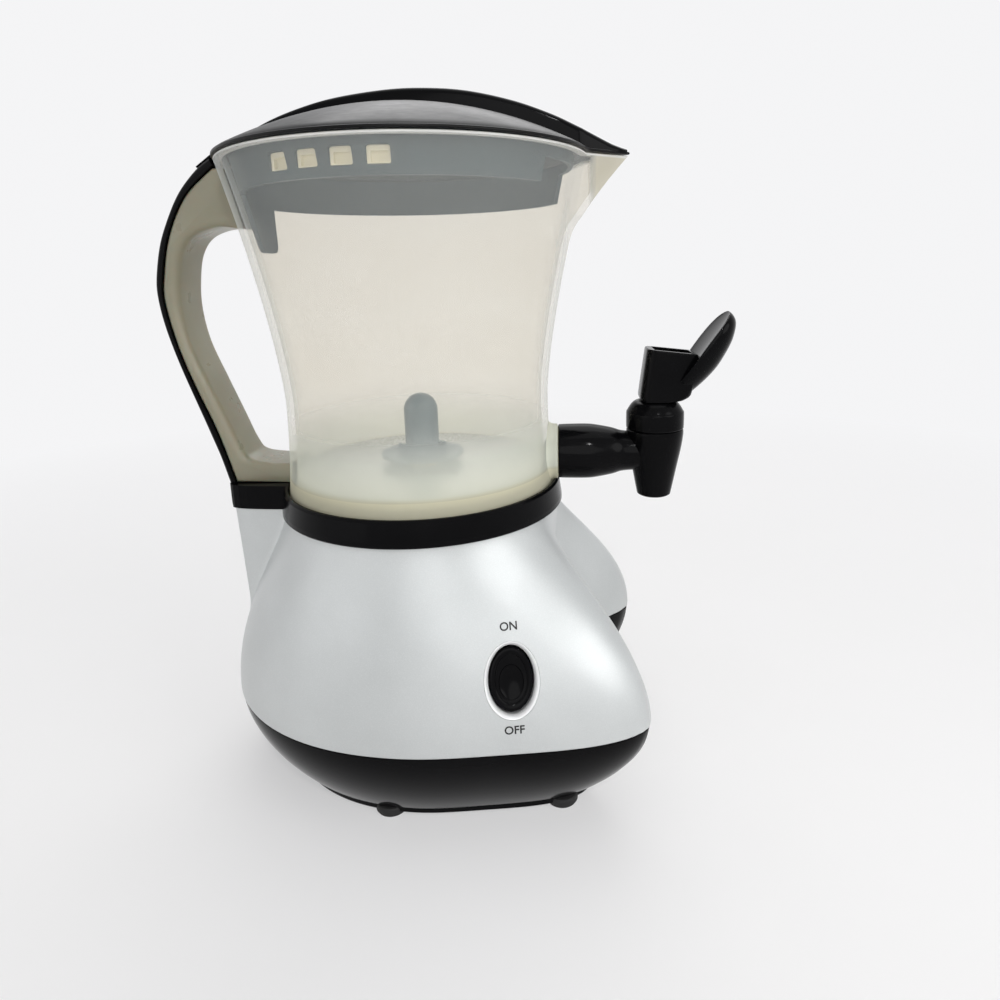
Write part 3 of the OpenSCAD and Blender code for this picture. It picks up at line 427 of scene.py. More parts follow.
# Materials
class Paint:
    """A material under construction."""

    def __init__(self, name):
        self.material = bpy.data.materials.new(name)
        self.material.use_nodes = True
        self.tree = self.material.node_tree
        self.shader = self.tree.nodes["Principled BSDF"]
        self.spot = self.tree.nodes.new("ShaderNodeTexCoord").outputs["Object"]

    def set(self, **values):
        for name, value in values.items():
            self.shader.inputs[name.replace("_", " ")].default_value = value
        return self

    def stretch(self, scale):
        node = self.tree.nodes.new("ShaderNodeMapping")
        node.inputs["Scale"].default_value = scale
        self.tree.links.new(self.spot, node.inputs["Vector"])
        return node.outputs["Vector"]

    def noise(self, scale, detail=3.0, along=None):
        node = self.tree.nodes.new("ShaderNodeTexNoise")
        node.inputs["Scale"].default_value = scale
        node.inputs["Detail"].default_value = detail
        self.tree.links.new(self.stretch(along) if along else self.spot, node.inputs["Vector"])
        return node.outputs["Fac"]

    def cells(self, scale):
        node = self.tree.nodes.new("ShaderNodeTexVoronoi")
        node.inputs["Scale"].default_value = scale
        self.tree.links.new(self.spot, node.inputs["Vector"])
        return node.outputs["Distance"]

    def span(self, value, low, high, start=0.3, end=0.7, soft=False):
        """A value that goes from low to high while another goes from start to end."""
        node = self.tree.nodes.new("ShaderNodeMapRange")
        node.interpolation_type = "SMOOTHERSTEP" if soft else "LINEAR"
        node.inputs["From Min"].default_value = start
        node.inputs["From Max"].default_value = end
        node.inputs["To Min"].default_value = low
        node.inputs["To Max"].default_value = high
        self.tree.links.new(value, node.inputs["Value"])
        return node.outputs["Result"]

    def tones(self, value, *stops):
        """Colours along a value: pairs of place and colour."""
        node = self.tree.nodes.new("ShaderNodeValToRGB")
        marks = node.color_ramp.elements
        while len(marks) < len(stops):
            marks.new(0.5)
        for mark, (spot, colour) in zip(marks, stops):
            mark.position = spot
            mark.color = (*colour, 1)
        self.tree.links.new(value, node.inputs["Fac"])
        return node.outputs["Color"]

    def mix(self, factor, a, b):
        node = self.tree.nodes.new("ShaderNodeMix")
        node.data_type = "RGBA"
        self.tree.links.new(factor, node.inputs[0])
        self.tree.links.new(a, node.inputs[6])
        self.tree.links.new(b, node.inputs[7])
        return node.outputs[2]

    def add(self, a, b, share=0.5):
        node = self.tree.nodes.new("ShaderNodeMath")
        node.operation = "MULTIPLY_ADD"
        node.inputs[1].default_value = share
        self.tree.links.new(a, node.inputs[0])
        self.tree.links.new(b, node.inputs[2])
        return node.outputs[0]

    def top(self, a, b, choice="MAXIMUM"):
        """The larger of two values, or the smaller."""
        node = self.tree.nodes.new("ShaderNodeMath")
        node.operation = choice
        self.tree.links.new(a, node.inputs[0])
        self.tree.links.new(b, node.inputs[1])
        return node.outputs[0]

    def colour(self, socket):
        self.tree.links.new(socket, self.shader.inputs["Base Color"])
        return self

    def rough(self, socket):
        self.tree.links.new(socket, self.shader.inputs["Roughness"])
        return self

    def bump(self, socket, strength, depth):
        """Raised detail, with its depth in millimetres."""
        node = self.tree.nodes.new("ShaderNodeBump")
        node.inputs["Strength"].default_value = strength
        node.inputs["Distance"].default_value = depth * MM
        self.tree.links.new(socket, node.inputs["Height"])
        self.tree.links.new(node.outputs["Normal"], self.shader.inputs["Normal"])
        return self


def grey(value, warm=0.0):
    return (value * (1 + warm), value, value * (1 - warm))


def metal_paint(name, dark, light, flake):
    """Satin metallic lacquer: fine flakes and soft clouds."""
    paint = Paint(name)
    flakes = paint.cells(flake)
    clouds = paint.noise(14, 4)
    tone = paint.tones(paint.add(flakes, clouds, 0.25), (0.3, dark), (0.8, light))
    paint.colour(tone)
    paint.rough(paint.span(paint.noise(45, 5), 0.34, 0.42))
    paint.bump(flakes, 0.03, 0.04)
    return paint.set(Metallic=0.3, Coat_Weight=0.15, Coat_Roughness=0.2).material


def black_plastic(name, smooth, worn, shine):
    """Moulded black plastic with faint scuffs and dust."""
    paint = Paint(name)
    scuffs = paint.noise(260, 6, (1, 1, 6))
    dust = paint.noise(30, 8)
    paint.colour(paint.tones(dust, (0.35, (0.002, 0.002, 0.0024)), (0.8, (0.004, 0.004, 0.0045))))
    paint.rough(paint.span(paint.add(scuffs, dust, 0.5), smooth, worn, 0.5, 0.95))
    paint.bump(paint.noise(420, 2), 0.03, 0.05)
    return paint.set(Specular_IOR_Level=shine).material


def grained(name, dark, light, rough, grain, depth):
    """Moulded plastic or rubber with a fine grain."""
    paint = Paint(name)
    pits = paint.cells(grain)
    paint.colour(paint.tones(paint.noise(40, 5), (0.3, dark), (0.7, light)))
    paint.rough(paint.span(paint.noise(90, 4), rough - 0.07, rough + 0.07))
    return paint.bump(pits, 0.35, depth).material


def skirt_haze_paint(name):
    """Dark skirt of the lid: dull, its black painted lighter and a little blue as painted light, standing in
    for what the milky wall in front scatters over it.
    """
    paint = Paint(name)
    # Black lifted to blue-grey: painted light scattered by the milky wall
    dark = (0.024, 0.042, 0.054)
    light = (0.037, 0.06, 0.075)
    paint.colour(paint.tones(paint.noise(40, 5), (0.3, dark), (0.7, light)))
    paint.rough(paint.span(paint.noise(90, 4), 0.42, 0.56))
    paint.bump(paint.noise(300, 3), 0.1, 0.02)
    return paint.set(Specular_IOR_Level=0.15).material


def blend(tree, factor, a, b):
    """One shader over another, by a number or a socket."""
    node = tree.nodes.new("ShaderNodeMixShader")
    if isinstance(factor, float):
        node.inputs[0].default_value = factor
    else:
        tree.links.new(factor, node.inputs[0])
    tree.links.new(a, node.inputs[1])
    tree.links.new(b, node.inputs[2])
    return node.outputs[0]


def cloudy(tree, colour):
    """Thin scattering layer, which gives back part of the light and lets part through."""
    front = tree.nodes.new("ShaderNodeBsdfDiffuse")
    back = tree.nodes.new("ShaderNodeBsdfTranslucent")
    tree.links.new(colour, front.inputs["Color"])
    tree.links.new(colour, back.inputs["Color"])
    return blend(tree, 0.35, front.outputs[0], back.outputs[0])


def milky_zones(paint):
    """Parts of the jug's wall as values up to one: foot, low part, rim, beak and the wall before the beak."""
    spot = paint.tree.nodes.new("ShaderNodeSeparateXYZ")
    paint.tree.links.new(paint.spot, spot.inputs["Vector"])
    out = spot.outputs["X"]
    high = spot.outputs["Z"]
    front = RIM_R + AXIS_X
    return {
        "foot": paint.span(high, 1.0, 0.0, (FLOOR_Z + 3.2) * MM, (FLOOR_Z + 5.0) * MM),
        "low": paint.span(high, 1.0, 0.0, FLOOR_Z * MM, (FLOOR_Z + 40) * MM, soft=True),
        # rim: the band under the lip, which carries a painted highlight line
        "rim": paint.span(high, 0.0, 1.0, (RIM_Z - 1.4) * MM, (RIM_Z - 0.9) * MM),
        "beak": paint.span(out, 0.0, 1.0, (front - 1) * MM, (front + 3) * MM),
        "before": paint.span(out, 0.0, 1.0, (front - 18) * MM, (front - 8) * MM),
    }


def milky_colour(paint, zones, flow, tone, pale):
    """Tone of the veil: dull low down, warm at the foot, like horn at the beak and pale at the rim, a painted
    highlight line.
    """
    body = paint.tones(flow, (0.3, tone), (0.7, tuple(min(1.05 * c, 0.95) for c in tone)))
    dull = paint.tones(flow, (0.3, (0.83, 0.86, 0.77)), (0.7, (0.88, 0.91, 0.82)))
    warm = paint.tones(flow, (0.3, (0.76, 0.74, 0.58)), (0.7, (0.81, 0.79, 0.63)))
    horn = paint.tones(flow, (0.3, (0.76, 0.73, 0.62)), (0.7, (0.8, 0.77, 0.66)))
    colour = body
    # The rim's pale tone is a painted highlight line
    for zone, other in (("low", dull), ("foot", warm), ("beak", horn), ("rim", pale)):
        colour = paint.mix(zones[zone], colour, other)
    return colour


def milky_share(paint, zones, veil, low_veil, foot_veil):
    """How much the veil hides: more at the thicker foot, rim and beak, where the rim's extra veil is also a
    painted highlight line, and where the wall is seen aslant.
    """
    edge_veil = 0.6
    share = paint.span(zones["low"], veil, low_veil, 0.0, 1.0)
    # The rim's extra veil also paints the highlight line
    for zone, most in (("foot", foot_veil), ("beak", 0.8), ("rim", 0.85)):
        share = paint.top(share, paint.span(zones[zone], 0.0, most, 0.0, 1.0))
    slant = paint.tree.nodes.new("ShaderNodeLayerWeight")
    slant.inputs["Blend"].default_value = 0.25
    edge = paint.span(slant.outputs["Facing"], veil, edge_veil, 0.35, 1.0)
    limit = paint.span(zones["before"], edge_veil, veil + 0.06, 0.0, 1.0)
    return paint.top(share, paint.top(edge, limit, "MINIMUM"))


def milky(name, veil, low_veil, foot_veil, tone):
    """Milky polypropylene: warm light passes, and a veil hides what lies behind."""
    paint = Paint(name)
    tree = paint.tree
    gloss = 0.01
    flow = paint.noise(9, 4, (1, 1, 2.5))
    # Pale tone: the colour of the faint gloss layer, and the painted highlight line at the rim
    pale = paint.tones(flow, (0.3, (0.9, 0.9, 0.88)), (0.7, (0.94, 0.94, 0.92)))
    zones = milky_zones(paint)
    colour = milky_colour(paint, zones, flow, tone, pale)
    share = milky_share(paint, zones, veil, low_veil, foot_veil)
    clear = tree.nodes.new("ShaderNodeBsdfTransparent")
    tint = paint.tones(flow, (0.3, (0.99, 0.968, 0.93)), (0.7, (0.998, 0.98, 0.948)))
    tree.links.new(tint, clear.inputs["Color"])
    wall = blend(tree, share, clear.outputs[0], cloudy(tree, colour))
    paint.colour(pale)
    paint.rough(paint.span(paint.noise(70, 5), 0.3, 0.4))
    wall = blend(tree, gloss, wall, paint.shader.outputs["BSDF"])
    tree.links.new(wall, tree.nodes["Material Output"].inputs["Surface"])
    return paint.material


def cream():
    """The same plastic, thick: nearly opaque, a little lit from inside."""
    paint = Paint("cream")
    flow = paint.noise(11, 4, (1, 1, 2))
    paint.colour(paint.tones(flow, (0.3, (0.235, 0.22, 0.155)), (0.7, (0.29, 0.275, 0.2))))
    paint.rough(paint.span(paint.noise(80, 5), 0.26, 0.38))
    paint.bump(paint.noise(300, 3), 0.06, 0.06)
    return paint.set(Subsurface_Weight=0.3, Subsurface_Scale=0.006).material


def turned(name, dark, light, rough, along):
    """Metal with fine lines from turning or brushing."""
    paint = Paint(name)
    lines = paint.noise(900, 3, along)
    paint.colour(paint.tones(paint.noise(25, 4), (0.3, dark), (0.7, light)))
    paint.rough(paint.span(lines, rough - 0.08, rough + 0.1))
    paint.bump(lines, 0.15, 0.03)
    return paint.set(Metallic=1.0).material


def laminated():
    """Wound core: thin sheets over a copper winding."""
    paint = Paint("core")
    sheets = paint.noise(1200, 2, (0.02, 0.02, 1))
    paint.colour(paint.tones(sheets, (0.35, (0.16, 0.07, 0.035)), (0.65, (0.4, 0.19, 0.09))))
    paint.rough(paint.span(sheets, 0.3, 0.5))
    paint.bump(sheets, 0.4, 0.1)
    return paint.set(Metallic=0.8).material


def board_green():
    """Circuit board lacquer over copper tracks."""
    paint = Paint("board")
    tracks = paint.cells(420)
    paint.colour(paint.tones(tracks, (0.25, (0.02, 0.12, 0.05)), (0.6, (0.035, 0.19, 0.08))))
    paint.rough(paint.span(paint.noise(120, 3), 0.3, 0.45))
    return paint.bump(tracks, 0.3, 0.08).material


MATERIALS = {
    "silver": metal_paint("silver", (0.47, 0.49, 0.49), (0.59, 0.61, 0.61), 2600),
    # Lighter copy of the silver for the switch bezel: painted highlight
    "silver_bright": metal_paint("silver_bright", (0.82, 0.83, 0.83), (0.9, 0.91, 0.91), 2600),
    "black_gloss": black_plastic("black_gloss", 0.06, 0.2, 0.06),
    "black_satin": black_plastic("black_satin", 0.28, 0.4, 0.12),
    "black_matte": grained("black_matte", grey(0.008), grey(0.014), 0.45, 1500, 0.08),
    "dark_plastic": grained("dark_plastic", (0.085, 0.135, 0.16), (0.115, 0.17, 0.195), 0.38, 1400, 0.05),
    "milky": milky("milky", 0.14, 0.6, 0.75, (0.85, 0.9, 0.91)),
    "milky_thick": milky("milky_thick", 0.8, 0.8, 0.9, (0.76, 0.75, 0.64)),
    "cream": cream(),
    "ivory": grained("ivory", (0.80, 0.77, 0.62), (0.86, 0.83, 0.68), 0.5, 1200, 0.05),
    "rubber": grained("rubber", grey(0.004), grey(0.008), 0.75, 1700, 0.1),
    "silicone": grained("silicone", (0.42, 0.4, 0.27), (0.5, 0.48, 0.34), 0.45, 1500, 0.04),
    "steel": turned("steel", grey(0.48), grey(0.6), 0.28, (1, 1, 0.03)),
    "brass": turned("brass", (0.5, 0.33, 0.1), (0.62, 0.43, 0.16), 0.26, (1, 1, 0.05)),
    "core": laminated(),
    "magnet": grained("magnet", grey(0.05), grey(0.08), 0.55, 900, 0.08),
    "board": board_green(),
    # The skirt's finish: black painted blue-grey, painted light from the milky wall
    "skirt_painted_haze": skirt_haze_paint("skirt_painted_haze"),
    "ink": grained("ink", grey(0.004), grey(0.008), 0.5, 2400, 0.01),
}


def dress_nodes():
    """Gives each CAD node the material of its slot."""
    for part in frame["record"]["subparts"]:
        obj = frame["nodes"][part["node"]]
        obj.data.materials.clear()
        obj.data.materials.append(MATERIALS[part["material_slot"]])
        finish_shading(obj.data, SHARP)


# Pieces
# Angles around the base, closer at the handle's riser, and around the jug and lid, closer at the beak
PLAN = steps(0, 150, 2) + steps(150, 210, 0.5) + steps(210, 360, 2)
BEAK_PLAN = steps(0, 20, 0.5) + steps(20, 340, 2.5) + steps(340, 360, 0.5)


def make_housing():
    """Silver shell with a rounded lower edge and the oval hole for the switch."""
    outer = [(0, 0.6), (0.15, 0.2), (0.6, 0)]
    outer += [(1.2 + (HOUSE_H - 1.2) * i / 44, 0) for i in range(45)]
    inner = [(HOUSE_H * i / 20, SHELL_T) for i in range(20, -1, -1)]
    rows = [
        ring(PLAN, HOUSE_Z + up, lambda a: house_r(a, HOUSE_Z + up) - inset)
        for up, inset in outer + inner
    ]
    obj = add_piece("housing_shell", skin(rows, looped=True), "base", "silver", ["base_housing"])
    hole = oval(ROCKER_W / 2 + 2.25, ROCKER_H / 2 + 2.65)
    cut(obj, skin([[on_switch(u, v, w) for u, v in hole] for w in (-10, 8)], capped=True))


def make_tray():
    """Black tray that draws in to the feet, with a rolled lower edge and a lip."""
    outer = [(TRAY_H - 0.5 * i * i / 4, 0.25 * (2 - i) ** 2 / 4) for i in range(3)]
    outer += [(TRAY_H - 0.8 - (TRAY_H - 1.4) * i / 28, 0) for i in range(29)]
    outer += [(0.3, 0.2), (0.1, 0.5), (-2.2, 0.7), (-2.5, 1.0), (-2.5, 3.0)]
    inner = [(2.2, TRAY_T + 0.6)]
    inner += [(2.2 + (TRAY_H - 9) * i / 10, TRAY_T) for i in range(1, 11)]
    inner += [(TRAY_H - 4, SHELL_T + 1.9), (TRAY_H + 3, SHELL_T + 1.9), (TRAY_H + 3, SHELL_T + MOVE_GAP)]
    inner += [(TRAY_H, SHELL_T + MOVE_GAP)]
    rows = [
        ring(PLAN, FOOT_H + up, lambda a: tray_r(a, FOOT_H + min(max(up, 0), TRAY_H)) - inset)
        for up, inset in outer + inner
    ]
    add_piece("tray_shell", skin(rows, looped=True), "base", "black_gloss", ["base_tray"])


def make_feet():
    """Round rubber feet that stand out a little past the tray's lower rim."""
    top = FOOT_H - 0.05
    profile = [(0.5, 0), (5.6, 0), (6.5, 0.3), (7, 1.1), (7, 3.6), (6.6, 4.2), (6, top), (0.5, top)]
    foot = turned_rows(profile, 48)
    points = []
    faces = []
    for a in FOOT_ANGLES:
        reach = tray_r(a, FOOT_H) - 5.5
        rows = [[(x + reach * cosd(a), y + reach * sind(a), z) for x, y, z in row] for row in foot]
        spots, sides = skin(rows, capped=True)
        faces += [tuple(len(points) + i for i in side) for side in sides]
        points += spots
    add_piece("foot_pads", (points, faces), "base", "rubber", ["rubber_feet"])


def make_jug():
    """Milky jug with its beak, a rounded rim, the seat of the hot plate and the inlet of the tap."""
    inset = 2.2
    tall = RIM_Z - 1 - JUG_Z
    rows = [ring(BEAK_PLAN, JUG_Z, lambda a: jug_r(JUG_Z) - 0.6)]
    rows += [
        ring(BEAK_PLAN, z, lambda a: beak_r(a, z, 0))
        for z in [JUG_Z + 0.6 + (tall - 0.6) * i / 64 for i in range(65)]
    ]
    for t in (30, 60, 90, 120, 150):
        share = (1 - cosd(t)) / 2
        rows.append(ring(BEAK_PLAN, RIM_Z - 1 + sind(t), lambda a: (
            beak_r(a, RIM_Z, 0) * (1 - share) + beak_r(a, RIM_Z, inset) * share)))
    deep = RIM_Z - 1 - FLOOR_Z
    rows += [
        ring(BEAK_PLAN, z, lambda a: beak_r(a, z, inset))
        for z in [RIM_Z - 1 - deep * i / 56 for i in range(57)]
    ]
    foot = WAIST_R + FOOT_FLARE - WALL_T
    rows += [
        ring(BEAK_PLAN, z, lambda a: r)
        for r, z in ((FLANGE_IN, FLOOR_Z), (FLANGE_IN, FLANGE_Z), (foot, FLANGE_Z), (foot, JUG_Z))
    ]
    obj = add_piece("jug_shell", skin(rows, looped=True), "base", "milky", ["jug_body"])
    hole = oval(JUG_INLET_R, JUG_INLET_R, 32)
    inlet = [[(x, y, TAP_Z + z) for y, z in hole] for x in (FLANGE_IN, WAIST_R + 20)]
    cut(obj, skin(inlet, capped=True))


def make_boss():
    """Boss of the jug for the tap, with a soft root on the wall and the bore for the spigot."""
    end = jug_r(TAP_Z) + 3.4
    rows = []
    for share, grow in ((0, 1.2), (0.12, 0.7), (0.3, 0.25), (0.55, 0), (0.9, 0), (1, -0.5)):
        row = []
        for y, z in oval(BOSS_R + grow, BOSS_R + grow):
            wall = math.sqrt(jug_r(TAP_Z + z) ** 2 - y * y) + 0.02
            row.append((wall + (end - wall) * share, y, TAP_Z + z))
        rows.append(row)
    bore = oval(SPIGOT_R + 0.1, SPIGOT_R + 0.1)
    rows.append([(end, y, TAP_Z + z) for y, z in bore])
    rows.append([(math.sqrt(jug_r(TAP_Z + z) ** 2 - y * y) + 0.02, y, TAP_Z + z) for y, z in bore])
    add_piece("jug_boss", skin(rows, looped=True), "base", "milky", finish="milky_thick")


STRIP = curve([
    grip(0.055, 1), grip(0.423, 0.915), grip(0.702, 0.799), grip(0.867, 0.682), grip(0.938, 0.594),
    grip(0.92, 0.449), grip(0.835, 0.315), grip(0.704, 0.171), grip(0.576, 0)
], 8)


def make_handle():
    """Cream grip, a C with rounded edges whose two feet follow the jug's round wall."""
    hole = curve([
        grip(0.038, 0.816), grip(0.24, 0.821), grip(0.483, 0.797), grip(0.641, 0.746), grip(0.744, 0.669),
        grip(0.813, 0.574), grip(0.811, 0.46), grip(0.716, 0.336), grip(0.601, 0.212), grip(0.508, 0.12),
        grip(0.42, 0.079), grip(0.203, 0.064)
    ], 8)
    gap = MOVE_GAP + 0.1
    low = [GRIP_Z + (hole[-1].y - GRIP_Z) * i / 2 for i in range(3)]
    high = [hole[0].y + (RIM_Z - 1 - hole[0].y) * i / 4 for i in range(5)]
    line = STRIP[1:]
    line += [Vector((-jug_r(z) - gap, z)) for z in low]
    line += hole[::-1]
    line += [Vector((-jug_r(z) - gap, z)) for z in high]
    line = against_clock(line)
    soft = [3.4 if p in hole[6:-6] else 1.0 for p in line]
    soft = [sum(soft[i - k] for k in range(-4, 5)) / 9 for i in range(-5, len(soft) - 5)]
    soft = soft[5:] + soft[:5]

    def hug(point, corner):
        if -corner.x > jug_r(corner.y) + gap + 0.01:
            return point
        return (-math.sqrt(jug_r(corner.y) ** 2 - point[1] ** 2) - 0.1, point[1], corner.y)

    rows = [[hug(p, q) for p, q in zip(row, line)] for row in slab(line, HANDLE_W / 2, soft)]
    add_piece("grip", skin(rows, capped=True), "base", "cream", ["jug_handle"])


def resample(line, n):
    """The same line with n + 1 points at even steps."""
    steps = [0.0]
    for p, q in zip(line, line[1:]):
        steps.append(steps[-1] + (q - p).length)
    out = []
    k = 0
    for i in range(n + 1):
        goal = steps[-1] * i / n
        while k < len(line) - 2 and steps[k + 1] < goal:
            k += 1
        out.append(line[k].lerp(line[k + 1], (goal - steps[k]) / (steps[k + 1] - steps[k])))
    return out


def make_handle_cover():
    """Black strip along the back of the grip, with a rounded back."""
    outer = curve([
        grip(0.079, 1.023), grip(0.24, 0.993), grip(0.483, 0.923), grip(0.699, 0.834), grip(0.842, 0.76),
        grip(0.962, 0.666), grip(1, 0.595), grip(0.999, 0.51), grip(0.95, 0.398), grip(0.873, 0.284),
        grip(0.783, 0.168), grip(0.712, 0.089), grip(0.66, 0.016), grip(0.648, 0)
    ], 8)
    half = HANDLE_W / 2 + 1
    rows = []
    for back, front in zip(resample(outer, 90), resample(STRIP, 90)):
        out = back - front
        thick = max(out.length - SEAT_GAP, 0.5)
        out.normalize()
        soft = min(3.2, 0.7 * thick)
        base = front + out * SEAT_GAP
        side = [(half, 0.0)] + round_corner(half, thick, soft)
        section = [(-y, d) for y, d in side] + side[::-1]
        rows.append([(base.x + out.x * d, y, base.y + out.y * d) for y, d in section])
    add_piece("grip_strip", skin(rows, capped=True), "base", "black_gloss", ["handle_cover"])


def make_lid():
    """Black dome with a rim band and a flat nose over the beak."""
    def edge(a, inset):
        nose = vee(a, BEAK_X + 0.4 - 1.5 * inset, BEAK_W / 2 + 1 - inset, LID_R)
        return soft_max(LID_R - inset, nose, 140)

    top = LID_Z + EDGE_H
    rows = [
        ring(BEAK_PLAN, dome_z(r), lambda a: r)
        for r in [2 + (LID_R - 3.6) * i / 24 for i in range(25)]
    ]
    band = [(0.9, top + 0.1), (0.35, top), (0.1, top - 0.15), (0, top - 0.4)]
    band += [(0, LID_Z + 0.25), (0.25, LID_Z)]
    for inset, z in band:
        rows.append(ring(BEAK_PLAN, z, lambda a: edge(a, inset)))
    rows.append(ring(BEAK_PLAN, LID_Z, lambda a: LID_R - 4))
    rows += [
        ring(BEAK_PLAN, dome_z(r) - LID_T, lambda a: r)
        for r in [LID_R - 5 - (LID_R - 7) * i / 12 for i in range(13)]
    ]
    shape = skin(rows, capped=True)
    add_piece("lid_dome", shape, "lid", "black_gloss", ["lid_cover"], 28, "black_satin")


def make_tab():
    """Lip of the lid that reaches over the top end of the handle's strip."""
    line = curve([
        (-70, 274.6), (-70, 276.2), (-75, 276.6), (-79.5, 275.6), (-83.5, 273.1), (-87.1, 270.7)
    ], 4)
    line += curve([(-87.0, 270.2), (-83.3, 272.3), (-79.3, 274.5), (-75, 275.0)], 4)
    line = against_clock([Vector((p.x, p.y - 0.2)) for p in line])
    rows = slab(line, 10.0, [0.2] * len(line), 2)
    add_piece("lid_tab", skin(rows, capped=True), "lid", "black_gloss")


def spine_low(x):
    return max(LID_Z + EDGE_H, dome_z(x))


def make_spine():
    """Raised strip along the lid, with a rounded section, ending in the point over the beak."""
    nose = (BEAK_X - 0.6) / LID_R
    marks = [
        (-0.97, 0.2), (-0.9, 0.68), (-0.74, 0.98), (-0.56, 1.05), (-0.34, 1.06), (-0.06, 1.08), (0.16, 1.16),
        (0.37, 1.26), (0.6, 1.3), (0.79, 1.29), (0.95, 1.27), (nose / 2 + 0.5, 0.68), (nose, 0.1)
    ]
    top = curve([(u * LID_R, spine_low(u * LID_R) + k * SPINE_H) for u, k in marks], 8)
    plan = [
        (-LID_R, 1), (LID_R - 12, 1), (LID_R - 4, 1 - 2 / SPINE_W), (BEAK_X - 1.6, 2.4 / SPINE_W), (BEAK_X, 0)
    ]
    rows = []
    for p in top:
        k = max(i for i in range(len(plan) - 1) if plan[i][0] <= p.x)
        (x0, w0), (x1, w1) = plan[k], plan[k + 1]
        half = max(SPINE_W / 2 * (w0 + (w1 - w0) * (p.x - x0) / (x1 - x0)), 0.4)
        low = spine_low(p.x) + 0.05
        soft = min(2.4, 0.85 * (p.y - low), 0.8 * half)
        ledge = min(1.4, half / 2)
        side = [(half + ledge, low - 0.6), (half + ledge, low + 0.25), (half, low + 0.4)]
        side += round_corner(half, p.y, soft)
        crown = [(s * (half - soft), p.y + 0.35 * (1 - s * s)) for s in (-0.6, -0.2, 0.2, 0.6)]
        section = [(-y, z) for y, z in side] + crown + side[::-1]
        rows.append([(p.x, y, z) for y, z in section])
    add_piece("lid_strip", skin(rows, capped=True), "lid", "black_gloss", ["lid_spine"])


def skirt_depth(a):
    """How far the skirt hangs below the rim: least at the beak, most in the tongue at the handle."""
    if a < MOUTH_END or a > MOUTH_START:
        return MOUTH_H
    aside = abs(a - TONGUE_A)
    side = FRONT_H if a > TONGUE_A else SKIRT_H
    if aside < TONGUE_HALF:
        return TONGUE_H - TONGUE_ROUND * (aside / TONGUE_HALF) ** 6
    corner = TONGUE_H - TONGUE_ROUND
    return max(side, corner - (corner - side) * (aside - TONGUE_HALF) / TONGUE_SLANT)


def skirt_r(z):
    """Outer radius of the skirt, which leans in less than the jug's wall."""
    top = RIM_R - WALL_T
    lean = 0.776 * (RIM_R - jug_r(RIM_Z - SKIRT_H)) / SKIRT_H
    return top - 2.6 - lean * (RIM_Z + 2 - z)


def make_skirt():
    """Dark skirt of the lid, with four windows in front."""
    plan = [0.5 * i for i in range(720)]
    top = LID_Z - 0.1
    rows = []
    for inset, shares in ((0, range(11)), (2, range(10, -1, -1))):
        for i in shares:
            row = []
            for a in plan:
                z = top + (RIM_Z - skirt_depth(a) - top) * i / 10
                r = skirt_r(z) - inset
                row.append((r * cosd(a), r * sind(a), z))
            rows.append(row)
    # The skirt's finish paints the light scattered by the milky wall over its black plastic
    obj = add_piece("skirt", skin(rows, looped=True), "lid", "black_matte", ["lid_skirt"], finish="skirt_painted_haze")
    for i in range(WINDOWS):
        a = -WINDOW_A - WINDOW_STEP * i
        ahead = Vector((cosd(a), sind(a)))
        aside = Vector((-sind(a), cosd(a)))
        hole = [(s * (WINDOW_W / 2 - c), WINDOW_Z + d) for s, c, d in (
            (-1, 0, 0.6), (-1, 0.6, 0), (1, 0.6, 0), (1, 0, 0.6), (1, 0, WINDOW_H - 0.9), (1, 0.9, WINDOW_H),
            (-1, 0.9, WINDOW_H), (-1, 0, WINDOW_H - 0.9))]
        rows = []
        for reach in (RIM_R - 20, RIM_R + 5):
            spots = [(ahead * reach + aside * s, z) for s, z in hole]
            rows.append([(p.x, p.y, z) for p, z in spots])
        cut(obj, skin(rows, capped=True))


def make_bezel():
    """Oval bezel of the switch, sunk into the housing, in a lighter copy of its silver: a painted highlight
    on the chamfer.
    """
    a = ROCKER_W / 2 + 0.4
    b = ROCKER_H / 2 + 0.8
    rim = [
        (1.75, -1.6), (1.75, -0.1), (1.6, 0.02), (1.35, -0.05), (0.9, -0.5), (0.35, -1.25), (0.05, -2.1),
        (0, -2.6), (0, -9.5), (1.2, -9.5), (1.2, -1.6)
    ]
    rows = [[on_skin(u, v, deep) for u, v in oval(a + grow, b + grow)] for grow, deep in rim]
    # The lighter silver paints the bezel's highlight
    add_piece("bezel", skin(rows, looped=True), "base", "silver_bright", ["switch_frame"])


def make_rocker():
    """Oval rocker with a rounded edge and a dish in its face."""
    a = ROCKER_W / 2
    b = ROCKER_H / 2
    rim = [
        (0, -9), (0, -3.6), (0.12, -3.1), (0.45, -2.75), (0.9, -2.65), (1.9, -2.8), (2.2, -2.95),
        (2.45, -3.3), (2.7, -3.45)
    ]
    rows = [[on_switch(u, v, deep) for u, v in oval(a - slim, b - 1.15 * slim)] for slim, deep in rim]
    for share, deep in ((1, -3.5), (0.94, -3.85), (0.86, -4.0), (0.6, -4.35), (0.3, -4.55), (0.06, -4.6)):
        rows.append([on_switch(u, v - 1.3, deep) for u, v in oval(4.9 * share, 6.9 * share)])
    add_piece("rocker", skin(rows, capped=True), "rocker", "black_gloss", ["switch_rocker"], 24)


